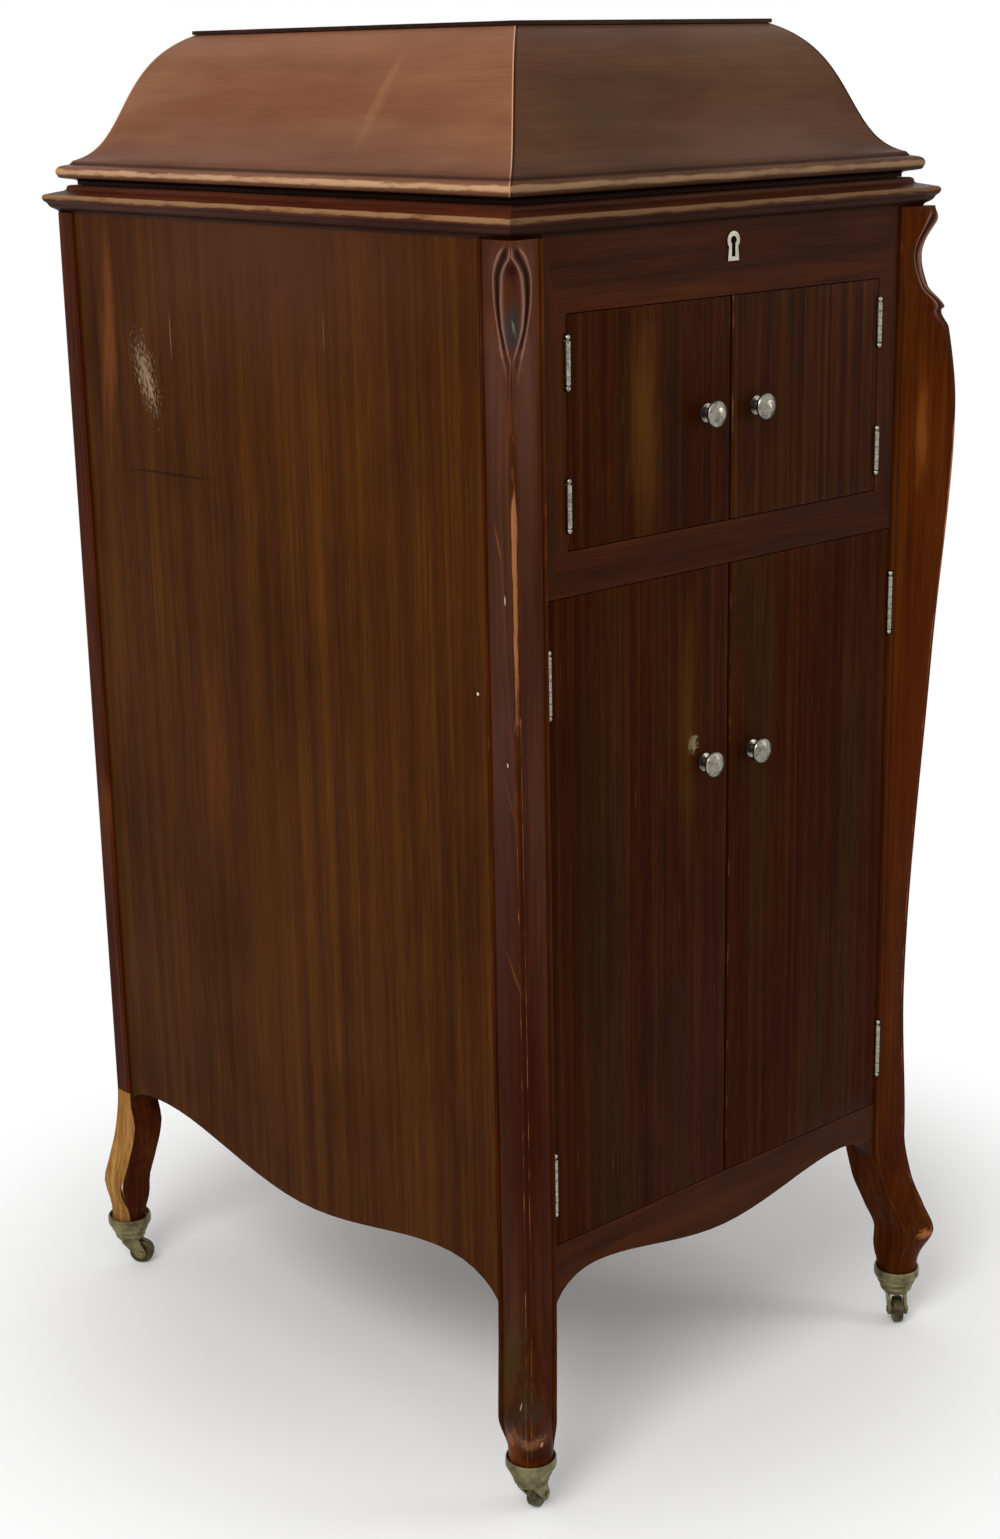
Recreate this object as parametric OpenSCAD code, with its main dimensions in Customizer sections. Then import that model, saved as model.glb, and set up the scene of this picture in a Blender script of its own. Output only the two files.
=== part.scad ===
// Upright cabinet gramophone: a mahogany case on carved cabriole posts and casters, with an
// internal horn behind the upper doors, a record rack behind the lower doors, a spring motor
// under the motor board, and a hipped ogee lid over the turntable and tone arm.
// X runs to the right as seen from the front, the front faces -Y, and the floor is Z = 0.

/* [Case] */
// Width of the case over its side faces
case_w = 438; // [420:1:470]
// Depth of the case over its front and back faces
case_d = 564; // [540:1:600]
// Height of the top edge of the case walls
case_top = 976.8; // [960:0.2:1000]
// Thickness of the side and back panels
panel_t = 16; // [12:1:20]
// Thickness of the front frame, frieze and apron
front_t = 18; // [16:1:22]
// Height of the top face of the bottom board
floor_z = 214; // [205:1:214]
// Thickness of the bottom board
floor_t = 12; // [8:1:16]
// Height of the top face of the shelf that carries the horn
shelf_z = 754; // [748:1:755]
// Thickness of that shelf
shelf_t = 16; // [12:1:20]

/* [Posts] */
// Width of a post on the front and back faces
post_w = 28; // [24:1:32]
// Width of a front post on the side face
post_side = 33; // [28:1:38]
// Width of a rear post on the side face
rear_side = 21; // [18:1:26]
// Height of the bead that stands proud along a post's inner edges
bead_h = 3; // [1:0.5:4]
// How far the arris of a front post stands out at the knee
knee_out = 22.4; // [16:0.2:26]
// Distance of the knee below the top of the case
knee_drop = 161; // [140:1:180]
// How far the arris stands out half way down the thigh
thigh_out = 13.4; // [10:0.2:16]
// Distance of that point below the top of the case
thigh_drop = 366; // [340:1:400]
// How far the arris stands out at the slim waist
waist_out = 3.3; // [2:0.1:6]
// Height of the waist
waist_z = 310; // [290:1:350]
// How far the arris stands out where the leg leaves the case
ankle_out = 6.4; // [4:0.2:8]
// Height at which the leg starts to kick outwards
ankle_z = 180; // [170:1:195]
// How far a front foot kicks out from the leg's line
foot_kick = 20; // [12:0.5:24]
// How far a rear foot kicks out from the leg's line
rear_kick = 13; // [8:0.5:16]
// Height of the widest place of a foot
foot_z = 85; // [80:1:95]
// Height of the underside of a foot
toe_z = 45; // [40:1:50]
// Half width of the carved spoon at the head of a front post
spoon_w = 13; // [9:0.5:14]
// Length of the carved spoon below the top of the case
spoon_l = 78; // [70:1:90]

/* [Skirt] */
// Height of the front skirt's belly
apron_belly_z = 168; // [160:1:180]
// Height of the front skirt's two arches
apron_peak_z = 188; // [184:1:196]
// Height of the side skirt's belly
side_belly_z = 160; // [150:1:170]
// Height of the side skirt's two arches
side_peak_z = 188; // [184:1:196]
// Height of the front skirt's ends
apron_end_z = 163; // [156:1:170]
// Height of the side skirt's front end
side_end_z = 161; // [156:1:170]
// Height of the side skirt's rear end
side_rear_z = 172; // [160:1:180]

/* [Doors] */
// Width of the stile between a front post and the upper doors
stile_w = 21.8; // [19:0.2:30]
// Height of the lower edge of the upper doors
upper_z0 = 756.8; // [756:0.2:762]
// Height of the upper edge of the upper doors
upper_z1 = 923.3; // [915:0.1:930]
// Height of the lower edge of the lower doors
lower_z0 = 216.8; // [216:0.2:222]
// Height of the upper edge of the lower doors
lower_z1 = 722.7; // [710:0.1:726]
// Thickness of a door
door_t = 16; // [14:1:17]
// Gap around a door
door_gap = 0.8; // [0.5:0.1:1.5]
// Radius of the rounded edges where two doors meet
door_round = 2.5; // [1:0.5:4]
// How much narrower a door is behind than in front, so that it swings clear of its neighbour
door_bevel = 1; // [0.5:0.1:2]

/* [Door hinges and knobs] */
// Radius of a hinge knuckle
knuckle_r = 2.3; // [2:0.1:3]
// Radius of a hinge pin
pin_r = 1.2; // [0.9:0.1:1.5]
// Running clearance of a pin in its knuckles
pin_clear = 0.05; // [0.02:0.01:0.1]
// Gap between two knuckles of a hinge
knuckle_gap = 0.5; // [0.3:0.1:0.8]
// Radius of the ball at each end of a hinge pin
ball_r = 2.2; // [1.8:0.1:2.6]
// How far the hinge axis lies in front of the doors' faces
hinge_proud = 1; // [0.5:0.1:2]
// Thickness of a hinge leaf
leaf_t = 1; // [0.8:0.1:1.5]
// Width of a hinge leaf behind the knuckle
leaf_w = 10; // [7:1:12]
// Length of the knuckles of an upper hinge
upper_hinge_l = 31; // [26:1:36]
// Length of the knuckles of a lower hinge
lower_hinge_l = 44; // [38:1:50]
// Radius of a door knob's head
knob_r = 10; // [8:0.5:12]
// How far a knob stands out from the door
knob_out = 16; // [12:1:20]
// Distance of the knobs from the line where the doors meet
knob_x = 27; // [22:1:34]

/* [Cornice] */
// How far the cornice's nose stands out from the case faces
nose_out = 10.3; // [8:0.1:12]
// Height of the cornice moulding
cornice_h = 22.1; // [20:0.1:26]
// Width of the cornice moulding from its nose inwards
cornice_w = 30; // [28:1:34]

/* [Lid] */
// Gap between the cornice and the closed lid
lid_gap = 0.3; // [0.2:0.1:0.6]
// Height of the ledge above the lid's lower edge, where its curve starts
lid_ledge_h = 19.3; // [17:0.1:22]
// Height of the lid's curved boards above that ledge
lid_rise = 98.5; // [90:0.5:105]
// Thickness of the lid's curved boards
lid_wall = 13; // [10:0.5:15]
// Distance of the flat top's edge in from the cornice's nose
lid_top_inset = 97; // [90:1:104]
// Thickness of the flat top board's edge
top_board_t = 3; // [2:0.5:6]
// Radius of a lid hinge's knuckle
lid_knuckle_r = 3; // [2.6:0.1:3.2]
// Radius of a lid hinge's pin
lid_pin_r = 1.5; // [1:0.1:1.8]
// How far the lid opens, in degrees
lid_open = 65; // [50:1:70]

/* [Casters] */
// Radius of the cup's top ring
cup_r = 20; // [18:0.5:22]
// Height of the underside of a cup
cup_z = 27; // [26:0.5:29]
// How deep a foot sits in its cup
cup_lip = 5; // [3:0.5:7]
// Radius of a caster wheel
wheel_r = 11.4; // [10:0.1:11.6]
// Width of a caster wheel
wheel_w = 11; // [8:1:12]
// How far a wheel's axle trails behind its swivel
wheel_trail = 10; // [6:1:12]
// Radius of the swivel's stem
stem_r = 5; // [4:0.5:6]
// Radius of a wheel's axle
axle_r = 2.5; // [2:0.1:3]
// Outward place of a front caster from the corner of the case
caster_front = 4; // [2:0.5:7]
// Outward place of a rear caster from the corner of the case
caster_rear = -1; // [-4:0.5:3]

/* [Turntable] */
// Place of the spindle to the left of the case's centre
spindle_left = 12; // [0:1:20]
// Place of the spindle in front of the case's centre
spindle_front = 60; // [50:1:70]
// Radius of the turntable
platter_r = 152; // [148:1:154]
// Height of the top face of the motor board
board_z = 972; // [968:1:974]
// Thickness of the motor board
board_t = 16; // [12:1:18]
// Radius of the pin that centres a record
record_pin_r = 3.6; // [3.5:0.05:3.7]
// Height of that pin above the felt
record_pin_h = 16; // [12:1:18]

/* [Motor] */
// Module of the spring motor's gear teeth
gear_module = 1; // [0.9:0.05:1.05]
// Teeth of the wheel on the spring barrel
barrel_teeth = 84; // [72:1:90]
// Teeth of the large intermediate wheel
middle_teeth = 60; // [54:1:64]
// Teeth of the two pinions
pinion_teeth = 12; // [12:1:14]
// Radius of the spring barrel
barrel_r = 38; // [30:1:39]
// Height of the crank's shaft
crank_z = 943; // [941:0.5:944]
// Radius of the crank's shaft
crank_r = 5; // [4:0.5:6]
// How far the crank's arm stands out from the case
crank_reach = 43; // [36:1:60]
// Length of the crank's arm
crank_arm = 95; // [70:1:110]
// Length of the crank's wooden grip
grip_l = 88; // [70:1:100]

/* [Tone arm] */
// Distance of the tone arm's pivot in from the case's right face
pivot_side = 115; // [111:1:121]
// Distance of that pivot in from the case's back face
pivot_rear = 102; // [92:1:108]
// Height of the tone arm's axis above the motor board
arm_h = 62; // [60:1:66]
// Length of the tone arm from its pivot to its end
arm_l = 204; // [190:1:210]
// Angle of the parked tone arm to the right of straight forward
arm_park = 3.2; // [0:0.1:5]
// Radius of the sound box
box_r = 27; // [24:0.5:29]

/* [Horn] */
// How far the horn's mouth ends inside the opening of the upper doors
mouth_side = 3.2; // [1:0.2:20]
// Half width of the horn's throat
throat_half = 25; // [20:1:30]
// Height of the mouth above the shelf
mouth_h = 166; // [150:1:168]
// Height of the throat above the shelf
throat_h = 43; // [36:1:50]
// Thickness of the horn's boards
horn_t = 8; // [6:1:9]

/* [Record rack] */
// Number of upright dividers
dividers = 5; // [3:1:7]
// Thickness of a divider
divider_t = 6; // [4:1:8]
// Height of the dividers
divider_h = 330; // [320:1:340]
// Thickness of the shelf over the dividers
rack_t = 12; // [8:1:16]

/* [Hidden] */
$fn = 48;
mahogany = "#4a2318";
red_mahogany = "#5a2416";
nickel = "#c9c6bd";
brass = "#a8925c";
pewter = "#77705c";
steel = "#9a9a98";
case_x = case_w / 2;
case_y = case_d / 2;
inner_x = case_x - panel_t;
post_x = case_x - post_w;
tip_x = case_x + nose_out;
tip_y = case_y + nose_out;
touch = 0.3;
pivot_right = case_x - pivot_side;
pivot_back = case_y - pivot_rear;
upper_half = post_x - stile_w;
mouth_half = upper_half - mouth_side;
cup_top = toe_z + cup_lip;

// The whole part's box is centred on the origin: these place the case's centre in it.
front_reach = case_y + ankle_out + foot_kick;
rear_reach = case_y + caster_rear + cup_r;
right_reach = case_x + crank_reach + crank_r + touch + grip_l;
left_reach = case_x + ankle_out + foot_kick;
place_x = (left_reach - right_reach) / 2;
place_y = (front_reach - rear_reach) / 2;
module placed(tone) translate([place_x, place_y, 0]) color(tone) children();

// Curves: a cubic through four control points, its copy moved sideways by d, and a smooth
// line through [z, value] stations that never overshoots them.
function bez(p, t) = p[0] * pow(1 - t, 3) + p[1] * 3 * t * pow(1 - t, 2)
    + p[2] * 3 * t * t * (1 - t) + p[3] * pow(t, 3);
function bez_dir(p, t) = let(d = (p[1] - p[0]) * pow(1 - t, 2)
    + (p[2] - p[1]) * 2 * t * (1 - t) + (p[3] - p[2]) * t * t) d / norm(d);
function curve(p, n) = [for (i = [0:n]) bez(p, i / n)];
function curve_beside(p, n, d) = [for (i = [0:n])
    let(t = i / n, e = bez_dir(p, t)) bez(p, t) + d * [e[1], -e[0]]];
function backwards(v) = [for (i = [len(v) - 1:-1:0]) v[i]];
function span(k, z, i = 0) = i >= len(k) - 2 || z < k[i + 1][0] ? i : span(k, z, i + 1);
function rate(k, i) = (k[i + 1][1] - k[i][1]) / (k[i + 1][0] - k[i][0]);
function slope(k, i) = i == 0 || i == len(k) - 1 ? 0
    : let(a = rate(k, i - 1), b = rate(k, i)) a * b <= 0 ? 0 : 2 * a * b / (a + b);
function smooth(k, z) = let(i = span(k, z), h = k[i + 1][0] - k[i][0],
    t = min(1, max(0, (z - k[i][0]) / h)))
    k[i][1] * (1 + 2 * t) * pow(1 - t, 2) + slope(k, i) * h * t * pow(1 - t, 2)
    + k[i + 1][1] * t * t * (3 - 2 * t) + slope(k, i + 1) * h * t * t * (t - 1);

// A solid through a stack of level outlines that all have the same number of points.
module loft(rings) {
    m = len(rings[0]);
    n = len(rings);
    polyhedron([for (r = rings) each r], concat(
        [[for (j = [0:m - 1]) j]],
        [[for (j = [m - 1:-1:0]) (n - 1) * m + j]],
        [for (i = [0:n - 2], j = [0:m - 1]) let(k = (j + 1) % m, a = i * m)
            each [[a + j, a + m + j, a + m + k], [a + j, a + m + k, a + k]]]));
}

// Front posts. A corner's own axes run outwards from the case along both faces.
foot_line = [[toe_z, 0.7], [foot_z, 1], [110, 0.66], [140, 0.24], [ankle_z, 0], [190, 0]];
function kick(z) = z < ankle_z ? smooth(foot_line, z) : 0;
// Below its widest place a foot is drawn in to a round end of radius r over its caster.
foot_r = cup_r - 2.4;
rear_foot_r = cup_r - 4.5;
function round_end(c, out, r, z) = let(t = z < foot_z ? smooth([[cup_top, 1], [foot_z, 0]], z) : 0,
    m = [out, out]) (1 - t) * c + t * (m + r * (c - m) / norm(c - m));
arris_line = [[ankle_z, ankle_out], [waist_z, waist_out],
    [case_top - thigh_drop, thigh_out], [case_top - knee_drop, knee_out],
    [case_top - 96, 17.2], [case_top - spoon_l - 4, 12.4], [case_top - spoon_l, 13.8],
    [case_top - 62, 6.2], [case_top - 38, 3.2], [case_top - 8, 8.8], [case_top, 7.4]];
function arris(z) = z < ankle_z ? ankle_out : smooth(arris_line, z);
ridge_w = 2.6;
spoon_line = [[case_top - spoon_l - 12, ridge_w], [case_top - spoon_l, ridge_w + 1.4],
    [case_top - 50, spoon_w * 0.7], [case_top - 26, spoon_w], [case_top - 12, spoon_w * 0.8],
    [case_top - 3, ridge_w + 1], [case_top, ridge_w]];
function spoon(z) = z < case_top - spoon_l - 12 ? ridge_w : smooth(spoon_line, z);
function corner(u, v) = [(v - u) / sqrt(2), (v + u) / sqrt(2)];
// Across the arris: outer rim, groove, inner rim and bowl, then the same back again.
function arris_points(z) = let(h = spoon(z), v = sqrt(2) * arris(z),
    deep = (h - ridge_w) / (spoon_w - ridge_w))
    [for (s = [[-1, 0.82, 0.5], [-0.8, 0.62, 3 * deep], [-0.52, 0.26, -0.3], [0, 0, 1 + 1.6 * deep],
        [0.52, 0.26, -0.3], [0.8, 0.62, 3 * deep], [1, 0.82, 0.5]])
        corner(s[0] * h, v - s[1] * h - s[2])];
function mid(p, q, d) = (p + q) / 2 + d * [q[1] - p[1], p[0] - q[0]] / norm(q - p);
function front_section(z) = let(a = arris_points(z), f = corner(0, sqrt(2) * foot_kick * kick(z)),
    p = [-post_w, bead_h], q = [bead_h, -post_side])
    [for (c = concat([[-post_w, -post_side], [-post_w, -post_side / 2], p,
        [4 - post_w, bead_h - 0.4], mid([4 - post_w, 1], a[6], 0.8)], backwards(a),
        [mid(a[0], [1, 4 - post_side], 0.8), [bead_h - 0.4, 4 - post_side], q,
        [-post_w / 2, -post_side]])) round_end(c + f, caster_front, foot_r, z)];
post_levels = concat([for (z = [toe_z:6:ankle_z - 2]) z], [for (z = [ankle_z:26:case_top - 200]) z],
    [for (z = [case_top - 190:12:case_top - 94]) z], [case_top - 86, case_top - spoon_l - 4,
    case_top - spoon_l - 0.5, case_top - spoon_l + 2], [for (z = [case_top - 70:5:case_top - 2]) z],
    [case_top]);
tenon_r = 10;
tenon_l = 9;
module front_post(side) mirror([side > 0 ? 0 : 1, 0, 0]) {
    difference() {
        loft([for (z = post_levels)
            [for (c = front_section(z)) [case_x + c[0], -case_y - c[1], z]]]);
        hinge_cuts(lower_hinge_zs, lower_hinge_l, lower_half - door_gap / 2, 1);
    }
    translate([case_x + caster_front, -case_y - caster_front, toe_z - tenon_l])
        cylinder(r = tenon_r, h = tenon_l + 6);
}
module front_post_left() placed(red_mahogany) front_post(-1);
module front_post_right() placed(red_mahogany) front_post(1);

function rear_depth(z) = rear_side
    + (post_w + bead_h - rear_side) * (z < ankle_z ? smooth([[ankle_z - 34, 1], [ankle_z - 8, 0]], z) : 0);
function rear_section(z) = let(k = rear_kick * kick(z), r = 2.4, d = rear_depth(z))
    [for (c = [[-post_w, -d], [-post_w, -d / 2], [-post_w, 0], [-post_w + 4, r * 0.3],
        [-post_w / 2, r * 0.3], [-r, r * 0.3], [0.6 * bead_h, 0], [bead_h, -r], [bead_h, -d / 2],
        [bead_h, 3 - d], [bead_h - 1, -d], [-post_w / 2, -d]])
        round_end(c + [k, k], caster_rear, rear_foot_r, z)];
rear_levels = concat([for (z = [toe_z:8:ankle_z - 2]) z], [ankle_z, case_top]);
module rear_post(side) mirror([side > 0 ? 0 : 1, 0, 0]) {
    loft([for (z = backwards(rear_levels))
        [for (c = rear_section(z)) [case_x + c[0], case_y + c[1], z]]]);
    translate([case_x + caster_rear, case_y + caster_rear, toe_z - tenon_l])
        cylinder(r = tenon_r, h = tenon_l + 6);
}
module rear_posts() placed(red_mahogany) for (s = [-1, 1]) rear_post(s);

// Boards of the case. front_board draws in (x, z), side_board in (y, z).
module front_board(y_back, t) translate([0, y_back, 0]) rotate([90, 0, 0])
    linear_extrude(t) children();
module side_board(x_left, t) translate([x_left, 0, 0]) rotate([90, 0, 90])
    linear_extrude(t) children();
function skirt(a, b, za, zb, peak, belly) = let(h = (b - a) / 2, m = (a + b) / 2, s = 0.23 * h)
    concat(curve([[a, za], [a + 3, za + 12], [a + 0.45 * s, peak], [a + s, peak]], 6),
        curve([[a + s, peak], [a + 2 * s, peak], [m - 1.2 * s, belly], [m, belly]], 10),
        curve([[m, belly], [m + 1.2 * s, belly], [b - 2 * s, peak], [b - s, peak]], 10),
        curve([[b - s, peak], [b - 0.45 * s, peak], [b - 3, zb + 12], [b, zb]], 6));
rear_y = case_y - rear_side;
front_y = -case_y + post_side;
module side_panel() side_board(inner_x, panel_t)
    polygon(concat(skirt(front_y, rear_y, side_end_z, side_rear_z, side_peak_z, side_belly_z),
        [[rear_y, case_top], [front_y, case_top]]));
crank_y = -spindle_front + 14 + 6.3;
crank_hole_r = crank_r + 2.5;
module side_panel_left() placed(mahogany) mirror([1, 0, 0]) side_panel();
module side_panel_right() placed(mahogany) difference() {
    side_panel();
    translate([inner_x - 1, crank_y, crank_z]) rotate([0, 90, 0])
        cylinder(r = crank_hole_r, h = panel_t + 2);
}
module back_panel() placed(mahogany) translate([-post_x, case_y - panel_t, floor_z - floor_t])
    cube([2 * post_x, panel_t - 2, case_top - floor_z + floor_t]);

// Front frame: frieze, two stiles and the rail between the doors, as four joined boards.
front_back = -case_y + front_t;
keyhole_z = (case_top + upper_z1) / 2 + 9.5;
module keyhole() {
    translate([0, 4]) circle(r = 3.1);
    translate([-1.9, -7.8]) square([3.8, 11.5]);
}
module box_2d(x0, x1, z0, z1) translate([x0, z0]) square([x1 - x0, z1 - z0]);
module front_frame() placed(mahogany) {
    front_board(front_back, front_t) difference() {
        box_2d(-post_x, post_x, upper_z1 + door_gap, case_top);
        translate([0, keyhole_z]) keyhole();
    }
    for (s = [0, 1]) mirror([s, 0, 0]) difference() {
        front_board(front_back, front_t)
            box_2d(upper_half, post_x, upper_z0 - door_gap, upper_z1 + door_gap);
        hinge_cuts(upper_hinge_zs, upper_hinge_l, upper_half - door_gap / 2, 1);
    }
    front_board(front_back, front_t)
        box_2d(-post_x, post_x, lower_z1 + door_gap, upper_z0 - door_gap);
}
module front_apron() placed(mahogany) front_board(front_back, front_t)
    polygon(concat(skirt(-post_x, post_x, apron_end_z, apron_end_z, apron_peak_z, apron_belly_z),
        [[post_x, lower_z0 - door_gap], [-post_x, lower_z0 - door_gap]]));

// Level boards inside the case, notched round the posts.
module deck(z, t, y0) translate([0, 0, z - t]) linear_extrude(t) difference() {
    translate([-inner_x, y0]) square([2 * inner_x, case_y - panel_t - y0]);
    for (s = [0, 1]) mirror([s, 0]) {
        translate([post_x, y0 - 1]) square([post_w, max(0, front_y - y0) + 1]);
        translate([post_x, rear_y]) square([post_w, rear_side]);
    }
}
module bottom_board() placed(mahogany) deck(floor_z, floor_t, front_back);
module horn_shelf() placed(mahogany) deck(shelf_z, shelf_t, front_back);
rack_y0 = front_back + 24;
module record_rack() placed(mahogany) {
    for (i = [1:dividers]) translate([-inner_x + 2 * inner_x * i / (dividers + 1) - divider_t / 2,
        rack_y0, floor_z]) cube([divider_t, case_y - panel_t - rack_y0, divider_h]);
    deck(floor_z + divider_h + rack_t, rack_t, rack_y0);
}

// Motor board with holes for the spindle, the horn's pipe and the brake's pin.
spindle_at = [-spindle_left, -spindle_front];
pivot_at = [pivot_right, pivot_back];
pipe_r = 23;
board_y0 = front_back + touch;
brake_at = spindle_at + (platter_r + 13) * [cos(29), -sin(29)];
brake_pin_r = 3;
module motor_board() placed(mahogany) difference() {
    deck(board_z, board_t, board_y0);
    translate([spindle_at[0], spindle_at[1], board_z - board_t - 1]) cylinder(r = 8, h = board_t + 2);
    translate([pivot_at[0], pivot_at[1], board_z - board_t - 1])
        cylinder(r = pipe_r + touch, h = board_t + 2);
    translate([brake_at[0], brake_at[1], board_z - 12])
        cylinder(r = brake_pin_r + pin_clear, h = 13);
}

// Horn: two upright side boards and a sloping top board over the shelf, then a cast throat.
horn_y0 = front_back + 1;
throat_d = 60;
horn_y1 = pivot_back - throat_d / 2;
module under_slope(lift, drop) side_board(-case_x, case_w) polygon([
    [horn_y0, shelf_z + mouth_h + lift], [horn_y1, shelf_z + throat_h + lift],
    [horn_y1, drop ? shelf_z + throat_h : shelf_z], [horn_y0, drop ? shelf_z + mouth_h : shelf_z]]);
throat_l = pivot_right - throat_half;
throat_r = pivot_right + throat_half;
module horn_boards() placed(mahogany) {
    for (w = [[-mouth_half, throat_l, -horn_t], [mouth_half, throat_r, horn_t]])
        intersection() {
            linear_extrude(case_top) polygon([[w[0], horn_y0], [w[0] + w[2], horn_y0],
                [w[1] + w[2], horn_y1], [w[1], horn_y1]]);
            under_slope(0, false);
        }
    intersection() {
        linear_extrude(case_top) polygon([[-mouth_half - horn_t, horn_y0],
            [mouth_half + horn_t, horn_y0], [throat_r + horn_t, horn_y1],
            [throat_l - horn_t, horn_y1]]);
        under_slope(horn_t, true);
    }
}
throat_wall = 4;
module horn_throat() placed("#3a3836") difference() {
    union() {
        translate([throat_l - throat_wall, horn_y1, shelf_z])
            cube([2 * (throat_half + throat_wall), throat_d, throat_h + throat_wall]);
        translate([pivot_at[0], pivot_at[1], shelf_z + throat_h])
            cylinder(r = pipe_r, h = board_z - shelf_z - throat_h);
    }
    translate([throat_l, horn_y1 - 1, shelf_z + throat_wall])
        cube([2 * throat_half, throat_d - throat_wall + 1, throat_h - throat_wall]);
    translate([pivot_at[0], pivot_at[1], shelf_z + throat_h - 1])
        cylinder(r = pipe_r - throat_wall, h = board_z);
}

// Mouldings: a profile of [distance in from the nose, height] mitred round the case.
mitre_gap = 0.02;
module mitred_side(profile, half_l, half_off) {
    d = max([for (p = profile) p[0]]) + 1;
    g = half_l - mitre_gap;
    intersection() {
        translate([-half_l, -half_off, 0]) rotate([90, 0, 90])
            linear_extrude(2 * half_l) polygon(profile);
        linear_extrude(lid_top_z + 1) polygon([[-g, -half_off], [g, -half_off],
            [g - d, d - half_off], [d - g, d - half_off]]);
    }
}
module mitred(profile) for (s = [0, 180]) rotate(s) {
    mitred_side(profile, tip_x, tip_y);
    rotate(90) mitred_side(profile, tip_y, tip_x);
}
function raised(points, z) = [for (p = points) [p[0], p[1] + z]];
cornice_top = case_top + cornice_h;
cornice_profile = concat(raised([[cornice_w, 0], [9.8, 0], [8.6, 1.8], [6, 3.4], [4.2, 5],
    [2.6, 7.8], [0.9, 9.4], [0, 11.4], [0.1, 13.2], [1.3, 14.6], [3, 15.1]], case_top),
    raised([[13.6, -4.5], [15, -3.3], [15.4, -1.3], [17.2, 0], [cornice_w, 0]], cornice_top));
module cornice() placed(mahogany) difference() {
    mitred(cornice_profile);
    for (x = lid_hinge_xs) lid_hinge_cut(x, -1);
}

// Lid: four ogee boards, mitred at the hips, under a flat top board.
lid_z = cornice_top + lid_gap;
ledge_z = lid_z + lid_ledge_h;
lid_top_z = ledge_z + lid_rise;
ledge_in = 20;
reach_in = lid_top_inset - ledge_in;
lid_lower = [[ledge_in, ledge_z], [ledge_in + 0.21 * reach_in, ledge_z + 0.056 * lid_rise],
    [ledge_in + 0.286 * reach_in, ledge_z + 0.198 * lid_rise],
    [ledge_in + 0.416 * reach_in, ledge_z + 0.442 * lid_rise]];
lid_upper = [lid_lower[3], [ledge_in + 0.545 * reach_in, ledge_z + 0.685 * lid_rise],
    [ledge_in + 0.675 * reach_in, ledge_z + 0.888 * lid_rise],
    [lid_top_inset, lid_top_z]];
lid_foot_in = ledge_in + 1.2 * lid_wall;
plug_in = lid_top_inset + 11;
lid_profile = concat(raised([[22, 0], [22, 2.4], [20.6, 3.8], [12, 5.4], [10.2, 7.2], [9.2, 9.8],
    [9.4, 12.3], [11, 14.4], [13, 15.4], [17.6, 16.4], [18.4, 17.2]], lid_z),
    curve(lid_lower, 12), [for (i = [1:12]) bez(lid_upper, i / 12)],
    [[plug_in, lid_top_z], [plug_in, lid_top_z - lid_wall]],
    backwards(curve_beside(lid_upper, 12, lid_wall)),
    [for (p = backwards(curve_beside(lid_lower, 12, lid_wall)))
        if (p[0] > lid_foot_in + 1 && p[0] < lid_lower[3][0] + 4) p],
    [[lid_foot_in, ledge_z - 9], [lid_foot_in, lid_z]]);
module lid() placed(mahogany) difference() {
    mitred(lid_profile);
    for (x = lid_hinge_xs) lid_hinge_cut(x, 1);
}
module slab(inset, z0, z1) translate([inset - tip_x, inset - tip_y, z0])
    cube([2 * (tip_x - inset), 2 * (tip_y - inset), z1 - z0]);
module lid_top_board() placed(mahogany) {
    slab(lid_top_inset - 2, lid_top_z, lid_top_z + top_board_t);
    slab(plug_in + 0.2, lid_top_z - 9, lid_top_z + 1);
}

// Lid hinges: two butt hinges at the back, their leaves let into the cornice and the lid.
lid_axis_y = tip_y - 4.3;
lid_axis_z = lid_z + 1.8;
lid_hinge_xs = [-120, 120];
lid_hinge_l = 60;
lid_leaf_d = 29;
lid_leaf_t = 1.2;
module lid_hinge_cut(x, s) translate([x - lid_hinge_l / 2 - 0.4, lid_axis_y - lid_leaf_d - 0.4,
    s > 0 ? lid_z - 0.01 : cornice_top - lid_leaf_t]) cube([lid_hinge_l + 0.8, 60, lid_leaf_t + 0.01]);
module knuckles(l, r, bore, wanted, count) for (i = [wanted:2:count - 1])
    translate([0, 0, i * l / count + knuckle_gap / 2]) difference() {
        cylinder(r = r, h = l / count - knuckle_gap);
        translate([0, 0, -1]) cylinder(r = bore, h = l / count + 2);
    }
module lid_leaf(x, s) {
    l = lid_hinge_l;
    c = 5;
    w = s > 0 ? 1 : 0;
    z = s > 0 ? lid_z : cornice_top - lid_leaf_t;
    difference() {
        union() {
            translate([x - l / 2, lid_axis_y - lid_leaf_d, z])
                cube([l, lid_leaf_d - lid_knuckle_r - 0.3, lid_leaf_t]);
            translate([x - l / 2, lid_axis_y, lid_axis_z]) rotate([0, 90, 0])
                knuckles(l, lid_knuckle_r, lid_pin_r + pin_clear, w, c);
            for (i = [w:2:c - 1]) translate([x - l / 2 + i * l / c + knuckle_gap / 2,
                lid_axis_y - lid_knuckle_r - 0.4, z])
                cube([l / c - knuckle_gap, lid_knuckle_r + 0.4, lid_leaf_t]);
        }
        translate([x - l, lid_axis_y, lid_axis_z]) rotate([0, 90, 0])
            cylinder(r = lid_pin_r + pin_clear, h = 2 * l);
    }
}
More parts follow.
